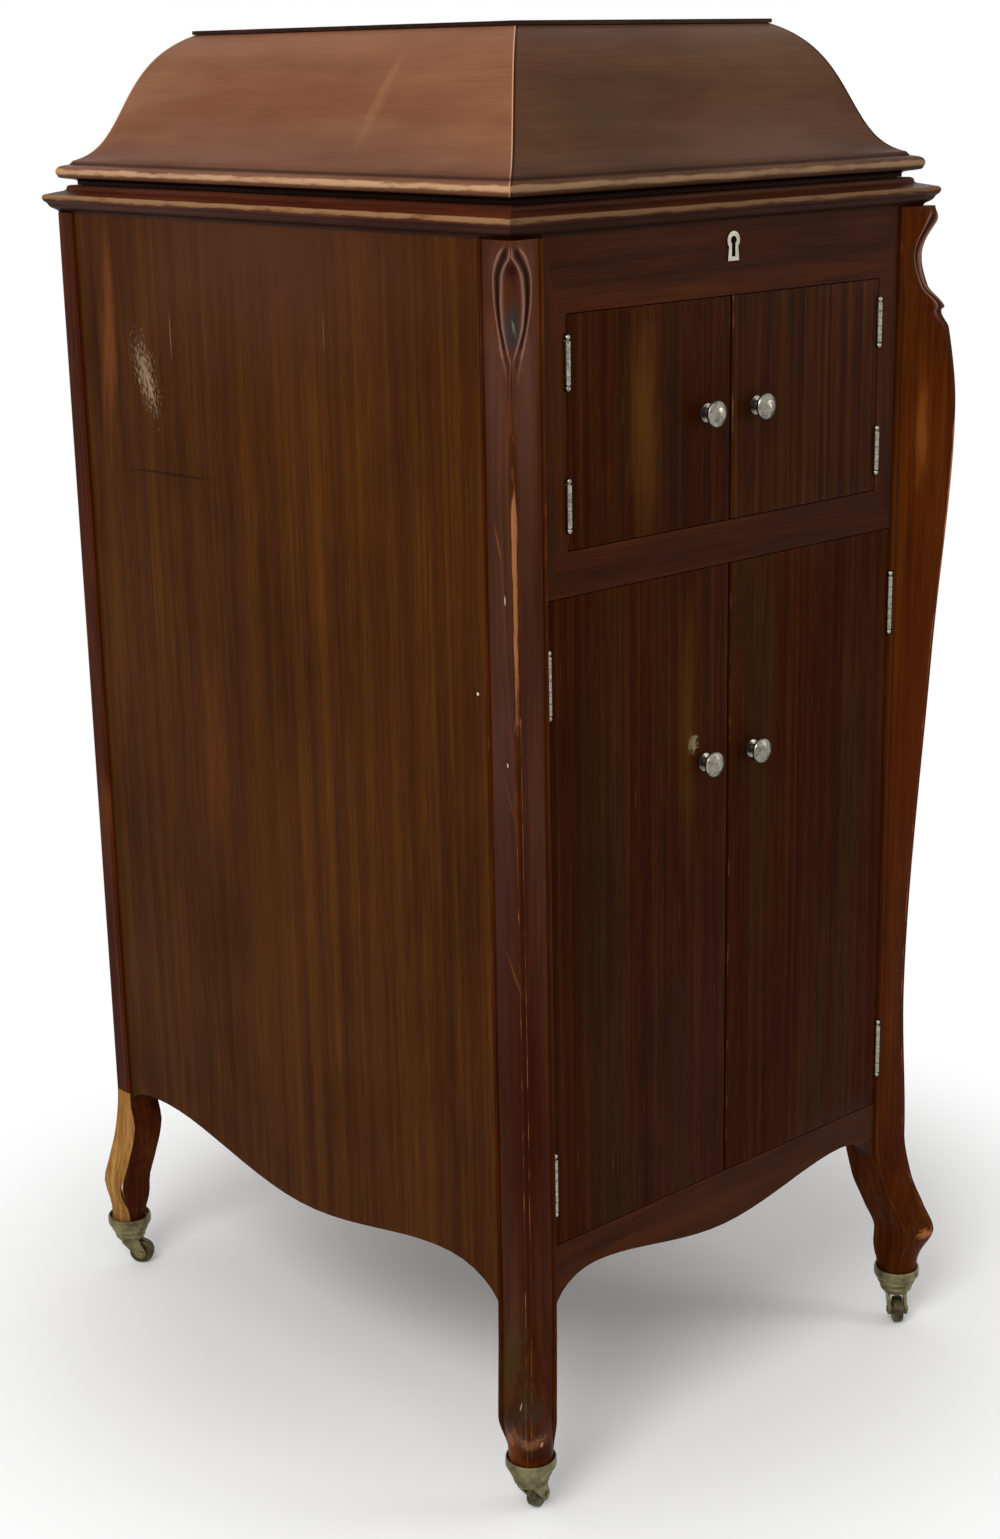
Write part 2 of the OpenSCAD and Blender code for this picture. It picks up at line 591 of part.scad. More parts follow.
module lid_hinge_leaves() placed(brass) {
    for (x = lid_hinge_xs) lid_leaf(x, 1);
    along_x(stay_x - 1.5, lug_at[0], lug_at[1], stay_pin_r, 4);
    along_x(stay_x + stay_t + 0.4, lug_at[0], lug_at[1], 3.8, 2.4);
    translate([stay_x + stay_t + 0.4, lug_at[0] - 10, lid_axis_z + 4.2])
        cube([tip_x - lid_foot_in - stay_x - stay_t - 0.4, 20, 4]);
}

// Lid stay: a bar as long as its lug's distance from the lid's hinge, so that its foot slides
// straight along the slot of the rail while the lid turns.
stay_l = 130;
stay_rise = 8;
stay_x = inner_x - 17;
stay_t = 2;
stay_pin_r = 2;
lug_at = [lid_axis_y - sqrt(stay_l * stay_l - stay_rise * stay_rise), lid_axis_z + stay_rise];
stay_foot_y = 2 * lug_at[0] - lid_axis_y;
rail_end_y = lid_axis_y - 2 * stay_l * cos(lid_open + asin(stay_rise / stay_l)) + 8;
module along_x(x, y, z, r, l) translate([x, y, z]) rotate([0, 90, 0]) cylinder(r = r, h = l);
module lid_stay() placed(brass) {
    difference() {
        side_board(stay_x, stay_t) {
            for (p = [lug_at, [stay_foot_y, lid_axis_z]]) translate(p) circle(r = 5);
            polygon([lug_at + [0, 4], lug_at - [0, 4], [stay_foot_y, lid_axis_z - 4],
                [stay_foot_y, lid_axis_z + 4]]);
        }
        along_x(stay_x - 1, lug_at[0], lug_at[1], stay_pin_r + pin_clear, stay_t + 2);
    }
    along_x(stay_x + stay_t - 0.5, stay_foot_y, lid_axis_z, stay_pin_r, 5.5);
}
rail_x = stay_x + stay_t + 0.5;
module stay_rail() placed(brass) difference() {
    union() {
        side_board(rail_x, 3) box_2d(stay_foot_y - 10, rail_end_y + 4, lid_axis_z - 7,
            lid_axis_z + 3.8);
        for (y = [stay_foot_y + 6, rail_end_y - 22]) translate([rail_x, y, lid_axis_z - 16])
            cube([tip_x - cornice_w - rail_x, 12, 12]);
    }
    side_board(rail_x - 1, 5) box_2d(stay_foot_y - 4, rail_end_y, lid_axis_z - stay_pin_r - 0.1,
        lid_axis_z + stay_pin_r + 0.1);
}

// Doors, with their corners notched round the hinge knuckles and mortised for the leaves.
hinge_y = -case_y - hinge_proud;
upper_hinge_zs = [upper_z0 + 32.2, upper_z1 - 33.3];
lower_hinge_zs = [lower_z0 + 51.2, lower_z1 - 61.2];
module hinge_cuts(zs, l, x, s) for (z = zs) {
    translate([x, hinge_y, z - l / 2 - 2 * ball_r - 0.3])
        cylinder(r = knuckle_r + 0.3, h = l + 4 * ball_r + 0.6);
    translate([s > 0 ? x + door_gap / 2 - 0.01 : x - door_gap / 2 - leaf_t, hinge_y,
        z - l / 2 - touch]) cube([leaf_t + 0.01, leaf_w + knuckle_r + 1, l + 2 * touch]);
}
function arc(c, r, a0, a1, n) = [for (i = [0:n]) let(a = a0 + (a1 - a0) * i / n)
    c + r * [cos(a), sin(a)]];
module door(half, z0, z1, zs, l) {
    edge = half - door_gap;
    r = door_round;
    difference() {
        translate([0, 0, z0]) linear_extrude(z1 - z0) polygon(concat(
            arc([door_gap / 2 + r, r - case_y], r, 180, 270, 6),
            arc([edge - 1, 1 - case_y], 1, 270, 360, 3),
            [[edge, door_t - case_y], [door_gap / 2 + door_bevel, door_t - case_y]]));
        hinge_cuts(zs, l, half - door_gap / 2, -1);
    }
}
lower_half = post_x;
module upper_door() door(upper_half, upper_z0, upper_z1, upper_hinge_zs, upper_hinge_l);
module lower_door() door(lower_half, lower_z0, lower_z1, lower_hinge_zs, lower_hinge_l);
module upper_door_left() placed(mahogany) mirror([1, 0, 0]) upper_door();
module upper_door_right() placed(mahogany) upper_door();
module lower_door_left() placed(mahogany) mirror([1, 0, 0]) lower_door();
module lower_door_right() placed(mahogany) lower_door();

// Hinge leaf: side s is -1 on a door and 1 on the case; the case leaf has the end knuckles.
module hinge_leaf(l, z, x, s) {
    c = 5;
    w = s > 0 ? 0 : 1;
    x0 = s > 0 ? x + door_gap / 2 : x - door_gap / 2 - leaf_t;
    difference() {
        union() {
            translate([x0, hinge_y + knuckle_r + 0.3, z - l / 2])
                cube([leaf_t, leaf_w, l]);
            translate([x, hinge_y, z - l / 2]) knuckles(l, knuckle_r, pin_r + pin_clear, w, c);
            for (i = [w:2:c - 1]) translate([x0, hinge_y, z - l / 2 + i * l / c + knuckle_gap / 2])
                cube([leaf_t, knuckle_r + 0.5, l / c - knuckle_gap]);
        }
        translate([x, hinge_y, z - l]) cylinder(r = pin_r + pin_clear, h = 2 * l);
    }
}
module hinge_pin(l) {
    translate([0, 0, -l / 2 - ball_r]) cylinder(r = pin_r, h = l + 2 * ball_r);
    for (s = [-1, 1]) translate([0, 0, s * (l / 2 + ball_r + 0.1)]) sphere(r = ball_r);
}
module case_hinges() placed(nickel) {
    for (s = [0, 1]) mirror([s, 0, 0]) {
        for (z = upper_hinge_zs) {
            hinge_leaf(upper_hinge_l, z, upper_half - door_gap / 2, 1);
            translate([upper_half - door_gap / 2, hinge_y, z]) hinge_pin(upper_hinge_l);
        }
        for (z = lower_hinge_zs) {
            hinge_leaf(lower_hinge_l, z, lower_half - door_gap / 2, 1);
            translate([lower_half - door_gap / 2, hinge_y, z]) hinge_pin(lower_hinge_l);
        }
    }
    for (x = lid_hinge_xs) {
        lid_leaf(x, -1);
        along_x(x - lid_hinge_l / 2 - 2, lid_axis_y, lid_axis_z, lid_pin_r, lid_hinge_l + 4);
    }
}
module door_leaves(zs, l, x) placed(nickel) for (z = zs) hinge_leaf(l, z, x, -1);
module left_leaves(zs, l, x) placed(nickel) mirror([1, 0, 0])
    for (z = zs) hinge_leaf(l, z, x, -1);
module upper_hinge_leaves_left() left_leaves(upper_hinge_zs, upper_hinge_l, upper_half - door_gap / 2);
module upper_hinge_leaves_right() door_leaves(upper_hinge_zs, upper_hinge_l, upper_half - door_gap / 2);
module lower_hinge_leaves_left() left_leaves(lower_hinge_zs, lower_hinge_l, lower_half - door_gap / 2);
module lower_hinge_leaves_right() door_leaves(lower_hinge_zs, lower_hinge_l, lower_half - door_gap / 2);

// Knob: a mushroom with a slim stem and a rose, turned about the axis that leaves the door.
upper_knob_z = (upper_z0 + upper_z1) / 2;
lower_knob_z = lower_z0 + 0.7 * (lower_z1 - lower_z0);
module knob(side, z) placed(nickel) translate([side * knob_x, -case_y, z]) rotate([90, 0, 0])
    rotate_extrude() polygon(concat([[0, 0], [7, 0], [7, 1.2], [4.2, 2.4], [3.6, 6.5],
        [knob_r - 2.4, knob_out - 7.4]],
        arc([knob_r - 2.2, knob_out - 5.2], 2.2, -70, 60, 6),
        [[knob_r * 0.5, knob_out - 0.9], [0, knob_out]]));
module upper_knob_left() knob(-1, upper_knob_z);
module upper_knob_right() knob(1, upper_knob_z);
module lower_knob_left() knob(-1, lower_knob_z);
module lower_knob_right() knob(1, lower_knob_z);
module escutcheon() placed(nickel) translate([0, -case_y, keyhole_z]) rotate([90, 0, 0])
    linear_extrude(1.2) difference() {
        union() {
            translate([0, 4]) circle(r = 6.6);
            polygon([[-4.8, 0], [4.8, 0], [5.9, -10.8], [-5.9, -10.8]]);
        }
        keyhole();
    }

// Casters: a stepped cup under each foot, a swivelling horn and a wheel that trails it.
caster_spots = [[-1, -1], [1, -1], [-1, 1], [1, 1]];
caster_turns = [20, 228, -45, 200];
function caster_place(i) = let(s = caster_spots[i], d = s[1] < 0 ? caster_front : caster_rear)
    [s[0] * (case_x + d), s[1] * (case_y + d), 0];
module at_caster(i) translate(caster_place(i)) rotate(caster_turns[i]) children();
module caster_cups() placed(pewter) for (i = [0:3]) translate(caster_place(i))
    rotate_extrude() polygon([[stem_r + pin_clear, cup_z], [11.6, cup_z], [13.6, cup_z + 1],
        [14.4, cup_z + 3.4], [13.8, cup_z + 5.4], [15.4, cup_z + 6.6], [16.8, cup_z + 9.4],
        [16.2, cup_z + 12], [cup_r - 1, cup_z + 13.8], [cup_r, cup_z + 16], [cup_r, cup_top - 1.6],
        [cup_r - 0.5, cup_top], [cup_r - 1.5, cup_top], [cup_r - 2, toe_z], [tenon_r + 0.2, toe_z],
        [tenon_r + 0.2, toe_z - tenon_l - touch], [stem_r + pin_clear, toe_z - tenon_l - touch]]);
fork_in = wheel_w / 2 + 0.5;
fork_t = 2.5;
horn_top = cup_z - touch;
crown_z = 2 * wheel_r + 1.2;
module fork_outline() polygon(concat([[-7, crown_z + 2], [-7, crown_z - 1]],
    arc([wheel_trail, wheel_r], 5, 215, 395, 12), [[9, crown_z], [9, crown_z + 2]]));
module caster_horn(i) placed(pewter) at_caster(i) {
    rotate_extrude() polygon([[0, crown_z], [9.4, crown_z], [11, crown_z + 1], [11, horn_top],
        [stem_r, horn_top], [stem_r, toe_z - tenon_l - 1], [0, toe_z - tenon_l - 1]]);
    for (s = [-1, 1]) translate([0, s * (fork_in + fork_t / 2) + fork_t / 2, 0])
        rotate([90, 0, 0]) linear_extrude(fork_t) fork_outline();
    translate([wheel_trail, fork_in + fork_t + 1, wheel_r]) rotate([90, 0, 0])
        cylinder(r = axle_r, h = 2 * (fork_in + fork_t + 1));
}
module caster_horn_front_left() caster_horn(0);
module caster_horn_front_right() caster_horn(1);
module caster_horn_rear_left() caster_horn(2);
module caster_horn_rear_right() caster_horn(3);
module caster_wheel(i) placed(steel) at_caster(i) translate([wheel_trail, 0, wheel_r])
    rotate([90, 0, 0]) rotate_extrude() polygon([[axle_r + pin_clear, -wheel_w / 2],
        [axle_r + 2.4, -wheel_w / 2], [axle_r + 3, 1 - wheel_w / 2], [wheel_r - 2.2, 1 - wheel_w / 2],
        [wheel_r - 0.4, 1.6 - wheel_w / 2], [wheel_r, 3 - wheel_w / 2], [wheel_r, wheel_w / 2 - 3],
        [wheel_r - 0.4, wheel_w / 2 - 1.6], [wheel_r - 2.2, wheel_w / 2 - 1],
        [axle_r + 3, wheel_w / 2 - 1], [axle_r + 2.4, wheel_w / 2],
        [axle_r + pin_clear, wheel_w / 2]]);
module caster_wheel_front_left() caster_wheel(0);
module caster_wheel_front_right() caster_wheel(1);
module caster_wheel_rear_left() caster_wheel(2);
module caster_wheel_rear_right() caster_wheel(3);

// Spring motor: toothed wheels between two plates. Teeth are trapezia with side clearance.
bed_z = board_z - board_t;
plate_t = 4;
motor_floor_z = bed_z - 58;
middle_wheel_z = bed_z - 17;
middle_pinion_z = bed_z - 26;
worm_wheel_z = bed_z - 38;
barrel_z = bed_z - 50;
pair_r = gear_module * (middle_teeth + pinion_teeth) / 2;
main_r = gear_module * (barrel_teeth + pinion_teeth) / 2;
barrel_away = pair_r + main_r - 6;
middle_turn = -acos((pair_r * pair_r + barrel_away * barrel_away - main_r * main_r)
    / (2 * pair_r * barrel_away));
middle_at = spindle_at + pair_r * [cos(middle_turn), sin(middle_turn)];
barrel_at = spindle_at + [barrel_away, 0];
module upright(p, z0, z1, r) translate([p[0], p[1], z0]) cylinder(r = r, h = z1 - z0);
function tooth(n, i) = let(r = gear_module * n / 2, a = 360 / n * i, w = 360 / n)
    [for (q = [[-1.2, -0.3], [0, -0.215], [0.9, -0.1], [0.9, 0.1], [0, 0.215], [-1.2, 0.3]])
        (r + q[0] * gear_module) * [cos(a + q[1] * w), sin(a + q[1] * w)]];
module gear(n, h) linear_extrude(h) polygon([for (i = [0:n - 1]) each tooth(n, i)]);
shaft_r = 4;
arbor_r = 2.5;
worm_wheel_r = 15;
worm_r = 5;
governor_x = spindle_at[0] - worm_wheel_r - worm_r - touch;
governor_z = worm_wheel_z + 3;
bearing_ys = [spindle_at[1] - 52, spindle_at[1] + 44];
motor_x0 = governor_x - 20;
motor_x1 = barrel_at[0] + 46;
motor_y0 = bearing_ys[0] - 6;
motor_y1 = bearing_ys[1] + 6;
module motor_plate(z, t) translate([motor_x0, motor_y0, z])
    cube([motor_x1 - motor_x0, motor_y1 - motor_y0, t]);
module motor_frame() placed(steel) {
    difference() {
        union() {
            motor_plate(bed_z - plate_t, plate_t);
            motor_plate(motor_floor_z, 3);
            for (x = [motor_x0 + 5, motor_x1 - 5], y = [motor_y0 + 5, motor_y1 - 5])
                upright([x, y], motor_floor_z, bed_z, 4);
            for (y = bearing_ys) translate([governor_x - 5, y - 2, motor_floor_z])
                cube([10, 4, governor_z + 6 - motor_floor_z]);
            translate([worm_at + 24, crank_y - 8, crank_z - 6.5])
                cube([5, 16, bed_z - crank_z + 4]);
        }
        for (p = [spindle_at, barrel_at])
            upright(p, motor_floor_z - 1, bed_z + 1, shaft_r + pin_clear);
        upright(middle_at, motor_floor_z - 1, bed_z + 1, arbor_r + pin_clear);
        translate([governor_x, motor_y1, governor_z]) rotate([90, 0, 0])
            cylinder(r = 2 + pin_clear, h = motor_y1 - motor_y0);
        along_x(worm_at + 20, crank_y, crank_z, crank_r + pin_clear, 12);
    }
}
module winding_arbor() placed(steel) {
    upright(barrel_at, motor_floor_z, bed_z - 0.5, shaft_r);
    upright(barrel_at, crank_z - 5, crank_z + 5, 14);
}
module spring_barrel() placed(brass) difference() {
    union() {
        upright(barrel_at, barrel_z, barrel_z + 24, barrel_r);
        upright(barrel_at, barrel_z + 24, middle_pinion_z + 1, 20);
        translate([barrel_at[0], barrel_at[1], middle_pinion_z + 1])
            rotate(180 + atan2(barrel_at[1] - middle_at[1], barrel_at[0] - middle_at[0]))
            gear(barrel_teeth, 4);
    }
    upright(barrel_at, barrel_z - 1, bed_z, shaft_r + pin_clear);
    for (a = [0:60:359]) translate([barrel_at[0], barrel_at[1], barrel_z - 1]) rotate(a + 15)
        translate([barrel_r - 10, 0, 0]) cylinder(r = 3, h = 5);
}
module intermediate_gear() placed(brass) {
    upright(middle_at, motor_floor_z, bed_z - 0.5, arbor_r);
    to_barrel = atan2(barrel_at[1] - middle_at[1], barrel_at[0] - middle_at[0]);
    translate([middle_at[0], middle_at[1], middle_pinion_z])
        rotate(to_barrel + 180 / pinion_teeth) gear(pinion_teeth, 6);
    translate([middle_at[0], middle_at[1], middle_wheel_z]) rotate(180 + middle_turn)
        difference() {
            gear(middle_teeth, 4);
            for (a = [0:60:359]) rotate(a) translate([gear_module * middle_teeth * 0.3, 0, -1])
                cylinder(r = 5.5, h = 6);
        }
}
platter_z = board_z + 8;
platter_t = 7;
felt_t = 2.2;
felt_z = platter_z + platter_t;
pin_top = felt_z + felt_t + record_pin_h;
module spindle() placed(steel) {
    upright(spindle_at, motor_floor_z, felt_z + felt_t, shaft_r);
    upright(spindle_at, worm_wheel_z, worm_wheel_z + 6, worm_wheel_r);
    translate([spindle_at[0], spindle_at[1], middle_wheel_z - 1])
        rotate(middle_turn + 180 / pinion_teeth) gear(pinion_teeth, 6);
    upright(spindle_at, felt_z + felt_t, pin_top - record_pin_r / 2, record_pin_r);
    translate([spindle_at[0], spindle_at[1], pin_top - record_pin_r / 2])
        cylinder(r1 = record_pin_r, r2 = record_pin_r / 2, h = record_pin_r / 2);
}
module turntable() placed(nickel) translate([spindle_at[0], spindle_at[1], 0])
    rotate_extrude($fn = 96) polygon([[shaft_r + 0.02, platter_z - 5], [13, platter_z - 5],
        [16, platter_z], [platter_r - 7, platter_z], [platter_r - 5, platter_z - 4.5],
        [platter_r - 1, platter_z - 4.5], [platter_r, platter_z - 3.5],
        [platter_r, platter_z + platter_t - 1.5], [platter_r - 1.5, platter_z + platter_t],
        [shaft_r + 0.02, platter_z + platter_t]]);
module turntable_felt() placed("#2f4a34") translate([spindle_at[0], spindle_at[1], felt_z])
    difference() {
        cylinder(r = platter_r - 2, h = felt_t, $fn = 96);
        translate([0, 0, -1]) cylinder(r = shaft_r + 0.4, h = felt_t + 2);
    }
module governor() placed(brass) translate([governor_x, 0, governor_z]) rotate([90, 0, 0]) {
    y_a = -bearing_ys[1];
    y_b = -bearing_ys[0];
    translate([0, 0, y_a - 2]) cylinder(r = 2, h = y_b - y_a + 4);
    translate([0, 0, -spindle_at[1] - 9]) cylinder(r = worm_r, h = 18);
    for (z = [y_b - 36, y_b - 8]) translate([0, 0, z]) cylinder(r = 12.5, h = 2);
    for (a = [90, 210, 330]) rotate(a) {
        translate([11.2, -2, y_b - 34]) cube([0.8, 4, 26]);
        translate([11.6, 0, y_b - 21]) sphere(r = 5);
    }
}

// Crank: a shaft through the side panel with a worm at its inner end, an arm and a grip.
arm_x = case_x + crank_reach;
worm_at = barrel_at[0];
grip_pin_r = 3;
module crank() placed(nickel) {
    along_x(worm_at - 14, crank_y, crank_z, crank_r, arm_x - worm_at + 14);
    along_x(worm_at - 10, crank_y, crank_z, 6, 20);
    translate([arm_x, crank_y, crank_z]) sphere(r = crank_r);
    translate([arm_x, crank_y, crank_z - crank_arm]) {
        cylinder(r = crank_r, h = crank_arm);
        sphere(r = crank_r);
    }
    along_x(arm_x, crank_y, crank_z - crank_arm, grip_pin_r, crank_r + grip_l - 2);
}
module crank_grip() placed("#241712") translate([arm_x + crank_r + touch, crank_y,
    crank_z - crank_arm]) rotate([0, 90, 0]) rotate_extrude() polygon(concat(
        [[grip_pin_r + pin_clear, 0], [7.5, 0], [9, 2], [9, 5]],
        curve([[8.5, 7], [14, 0.35 * grip_l], [13.5, 0.75 * grip_l], [10.5, grip_l - 4]], 10),
        [[8, grip_l - 1], [5, grip_l], [grip_pin_r + pin_clear, grip_l]]));
module crank_escutcheon() placed(nickel) translate([case_x, crank_y, crank_z]) rotate([0, 90, 0])
    rotate_extrude() polygon([[crank_r + pin_clear, -panel_t], [crank_hole_r - 0.1, -panel_t],
        [crank_hole_r - 0.1, 0], [19, 0], [19, 1.2], [17, 2.4], [11, 3.2], [10, 6], [8.6, 7],
        [crank_r + pin_clear, 7]]);

// Tone arm, drawn with its pivot at the origin and the arm along +X, then turned to its park.
arm_z = board_z + arm_h;
spigot_r = 17;
module at_arm() translate([pivot_at[0], pivot_at[1], arm_z]) rotate(arm_park - 90) children();
bracket_r = 36;
module tone_arm_bracket() placed(nickel) translate([pivot_at[0], pivot_at[1], board_z])
    rotate_extrude() polygon([[spigot_r - 3, 0], [bracket_r, 0], [bracket_r, 3],
        [bracket_r - 3, 5], [25, 6.5], [22, 9],
        [21.5, 22], [spigot_r, 24], [spigot_r, arm_h - 16], [spigot_r - 3, arm_h - 16]]);
neck_r = 9;
arm_bore_l = 22;
module tone_arm() placed(nickel) at_arm() difference() {
    union() {
        translate([0, 0, 24.3 - arm_h]) cylinder(r = 21.5, h = arm_h - 24.3);
        sphere(r = 21.5);
        rotate([0, 90, 0]) cylinder(r1 = 21, r2 = 12, h = arm_l);
        translate([arm_l - 8, 0, 0]) rotate([0, 90, 0]) cylinder(r = 13.4, h = 8);
    }
    translate([0, 0, -arm_h]) cylinder(r = spigot_r + pin_clear, h = arm_h - 15);
    translate([0, 0, -16]) cylinder(r = spigot_r - 3, h = 16);
    rotate([0, 90, 0]) cylinder(r = neck_r - 2.5, h = arm_l);
    translate([arm_l - arm_bore_l, 0, 0]) rotate([0, 90, 0])
        cylinder(r = neck_r + pin_clear, h = arm_bore_l + 1);
}
bend_r = 15;
neck_end = arm_l + 2 + bend_r;
box_t = 20;
module gooseneck() placed(nickel) at_arm() difference() {
    neck(neck_r, 0);
    neck(neck_r - 2.5, 1);
}
module neck(r, over) {
    translate([arm_l - arm_bore_l + 1 - over, 0, 0]) rotate([0, 90, 0])
        cylinder(r = r, h = arm_bore_l + 1 + over);
    translate([arm_l + 2, bend_r, 0]) rotate(-90) rotate_extrude(angle = 90)
        translate([bend_r, 0]) circle(r = r);
    translate([neck_end, bend_r, 0]) rotate([-90, 0, 0]) cylinder(r = r, h = 3 + over);
}
needle_drop = arm_z - felt_z - felt_t - 2.3;
module sound_box() placed(nickel) at_arm() translate([neck_end, bend_r + 3, 0])
    rotate([-90, 0, 0]) {
        rotate_extrude() polygon([[0, 0], [14, 0], [16, 3], [box_r - 2, 5], [box_r, 7],
            [box_r, box_t - 3], [box_r - 1.5, box_t], [box_r - 6, box_t], [box_r - 7, box_t - 4],
            [0, box_t - 4]]);
        translate([0, box_r - 4, box_t / 2 - 0.6]) rotate([-90, 40, 0])
            cylinder(r = 3.1, h = 11);
        translate([0, box_r + 6, box_t / 2 - 0.6]) rotate([-90, 0, 0])
            cylinder(r1 = 1.1, r2 = 0.3, h = needle_drop - box_r - 6);
        translate([-1.5, 4, box_t - 4.6]) cube([3, box_r - 2, 1.8]);
        translate([-2.1, box_r - 5, box_t - 3.4]) cube([4.2, 8.3, 4.2]);
    }

// Brake: a lever on the motor board whose shoe meets the turntable's rim.
shoe_dir = [cos(45), -sin(45)];
shoe_at = spindle_at + (platter_r + 5) * shoe_dir;
brake_z = board_z + 3;
module brake_lever() placed(brass) {
    translate([0, 0, brake_z]) linear_extrude(3) {
        translate(brake_at) circle(r = 6);
        translate(shoe_at) circle(r = 4.5);
        polygon([brake_at + 5 * shoe_dir, brake_at - 3 * shoe_dir, shoe_at - 2 * shoe_dir,
            shoe_at + 4 * shoe_dir]);
        polygon([brake_at + [2, -4], brake_at + [26, 12], brake_at + [23, 17], brake_at + [-4, 2]]);
        translate(brake_at + [24.5, 14.5]) circle(r = 4);
    }
    upright(shoe_at, brake_z + 2, brake_z + 9, 4.6);
    upright(brake_at, board_z - 10, brake_z + 5, brake_pin_r);
    translate([brake_at[0] + 24.5, brake_at[1] + 14.5, brake_z + 2]) cylinder(r1 = 3, r2 = 4.5, h = 9);
}

// Needle cups let into the corners of the motor board.
cup_side = inner_x - 37;
cup_front = 70 - case_y;
cup_spots = [[-cup_side, cup_front], [-cup_side, cup_front + 40], [cup_side, cup_front]];
module needle_cups() placed(nickel) for (p = cup_spots) translate([p[0], p[1], board_z])
    rotate_extrude() polygon(concat([[0, 0], [10, 0], [14, 4], [17, 10], [19, 10.5], [19, 12],
        [16, 12]], curve([[14.5, 11.5], [12, 5], [8, 2], [0, 2]], 8)));

front_post_left();
front_post_right();
rear_posts();
side_panel_left();
side_panel_right();
back_panel();
front_frame();
front_apron();
cornice();
bottom_board();
horn_shelf();
record_rack();
motor_board();
horn_boards();
horn_throat();
caster_cups();
case_hinges();
escutcheon();
motor_frame();
tone_arm_bracket();
needle_cups();
crank_escutcheon();
stay_rail();
lid();
lid_top_board();
lid_hinge_leaves();
lid_stay();
upper_door_left();
upper_door_right();
lower_door_left();
lower_door_right();
upper_knob_left();
upper_knob_right();
lower_knob_left();
lower_knob_right();
upper_hinge_leaves_left();
upper_hinge_leaves_right();
lower_hinge_leaves_left();
lower_hinge_leaves_right();
crank();
crank_grip();
winding_arbor();
turntable();
turntable_felt();
spindle();
spring_barrel();
intermediate_gear();
governor();
tone_arm();
gooseneck();
sound_box();
brake_lever();
caster_horn_front_left();
caster_horn_front_right();
caster_horn_rear_left();
caster_horn_rear_right();
caster_wheel_front_left();
caster_wheel_front_right();
caster_wheel_rear_left();
caster_wheel_rear_right();
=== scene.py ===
import math

import bmesh
import bpy
from mathutils import Matrix, Vector


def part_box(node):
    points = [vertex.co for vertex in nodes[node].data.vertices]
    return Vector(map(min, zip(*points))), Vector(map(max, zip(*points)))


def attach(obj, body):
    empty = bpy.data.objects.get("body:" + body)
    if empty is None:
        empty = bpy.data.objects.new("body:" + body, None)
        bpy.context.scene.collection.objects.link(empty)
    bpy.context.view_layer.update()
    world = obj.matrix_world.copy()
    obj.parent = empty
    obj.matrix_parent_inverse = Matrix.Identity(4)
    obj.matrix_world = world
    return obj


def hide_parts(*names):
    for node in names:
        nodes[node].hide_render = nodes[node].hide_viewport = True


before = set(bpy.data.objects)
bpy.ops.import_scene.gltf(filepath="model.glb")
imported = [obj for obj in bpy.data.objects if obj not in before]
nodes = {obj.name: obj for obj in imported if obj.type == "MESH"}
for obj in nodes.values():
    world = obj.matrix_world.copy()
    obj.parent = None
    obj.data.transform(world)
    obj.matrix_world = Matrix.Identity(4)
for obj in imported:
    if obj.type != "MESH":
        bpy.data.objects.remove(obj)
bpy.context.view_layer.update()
print("frame loaded,", len(nodes), "nodes")

mm = 0.001
# Sizes of the case that several pieces share, in mm from the case's own centre.
case = {"halfW": 219, "halfD": 282, "top": 976.8, "noseOut": 10.3}
noseX = case["halfW"] + case["noseOut"]
noseY = case["halfD"] + case["noseOut"]
corniceLow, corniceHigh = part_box("cornice")
caseX = (corniceLow.x + corniceHigh.x) / 2 / mm
caseY = (corniceLow.y + corniceHigh.y) / 2 / mm


def place(x, y, z):
    return Vector(((x + caseX) * mm, (y + caseY) * mm, z * mm))


def hexToLinear(code):
    channels = []
    for start in (1, 3, 5):
        value = int(code[start:start + 2], 16) / 255
        channels.append(value / 12.92 if value <= 0.04045 else ((value + 0.055) / 1.055) ** 2.4)
    return (*channels, 1.0)


def addNode(tree, kind, settings=None, inputs=None):
    node = tree.nodes.new(kind)
    for key, value in (settings or {}).items():
        if key == "stops":
            ramp = node.color_ramp
            while len(ramp.elements) < len(value):
                ramp.elements.new(0.5)
            for element, (position, colour) in zip(ramp.elements, value):
                element.position = position
                element.color = hexToLinear(colour)
        else:
            setattr(node, key, value)
    for key, value in (inputs or {}).items():
        if isinstance(value, bpy.types.Node):
            value = value.outputs[0]  # a node stands for its first output
        if isinstance(value, bpy.types.NodeSocket):
            tree.links.new(value, node.inputs[key])
        else:
            node.inputs[key].default_value = value
    return node


def linked(name, data):
    piece = bpy.data.objects.new(name, data)
    bpy.context.scene.collection.objects.link(piece)
    return piece


def startMaterial(name):
    material = bpy.data.materials.new(name)
    material.use_nodes = True
    material.node_tree.nodes.clear()
    return material, material.node_tree


# Camera at the photograph's place, solved from the case's straight edges.
view = {"at": (-1338.82, -1518.45, 1097.04), "yaw": 0.727401, "pitch": -0.286624,
        "roll": -0.019064, "focal": 2425.5, "imageH": 1539, "sensor": 36}


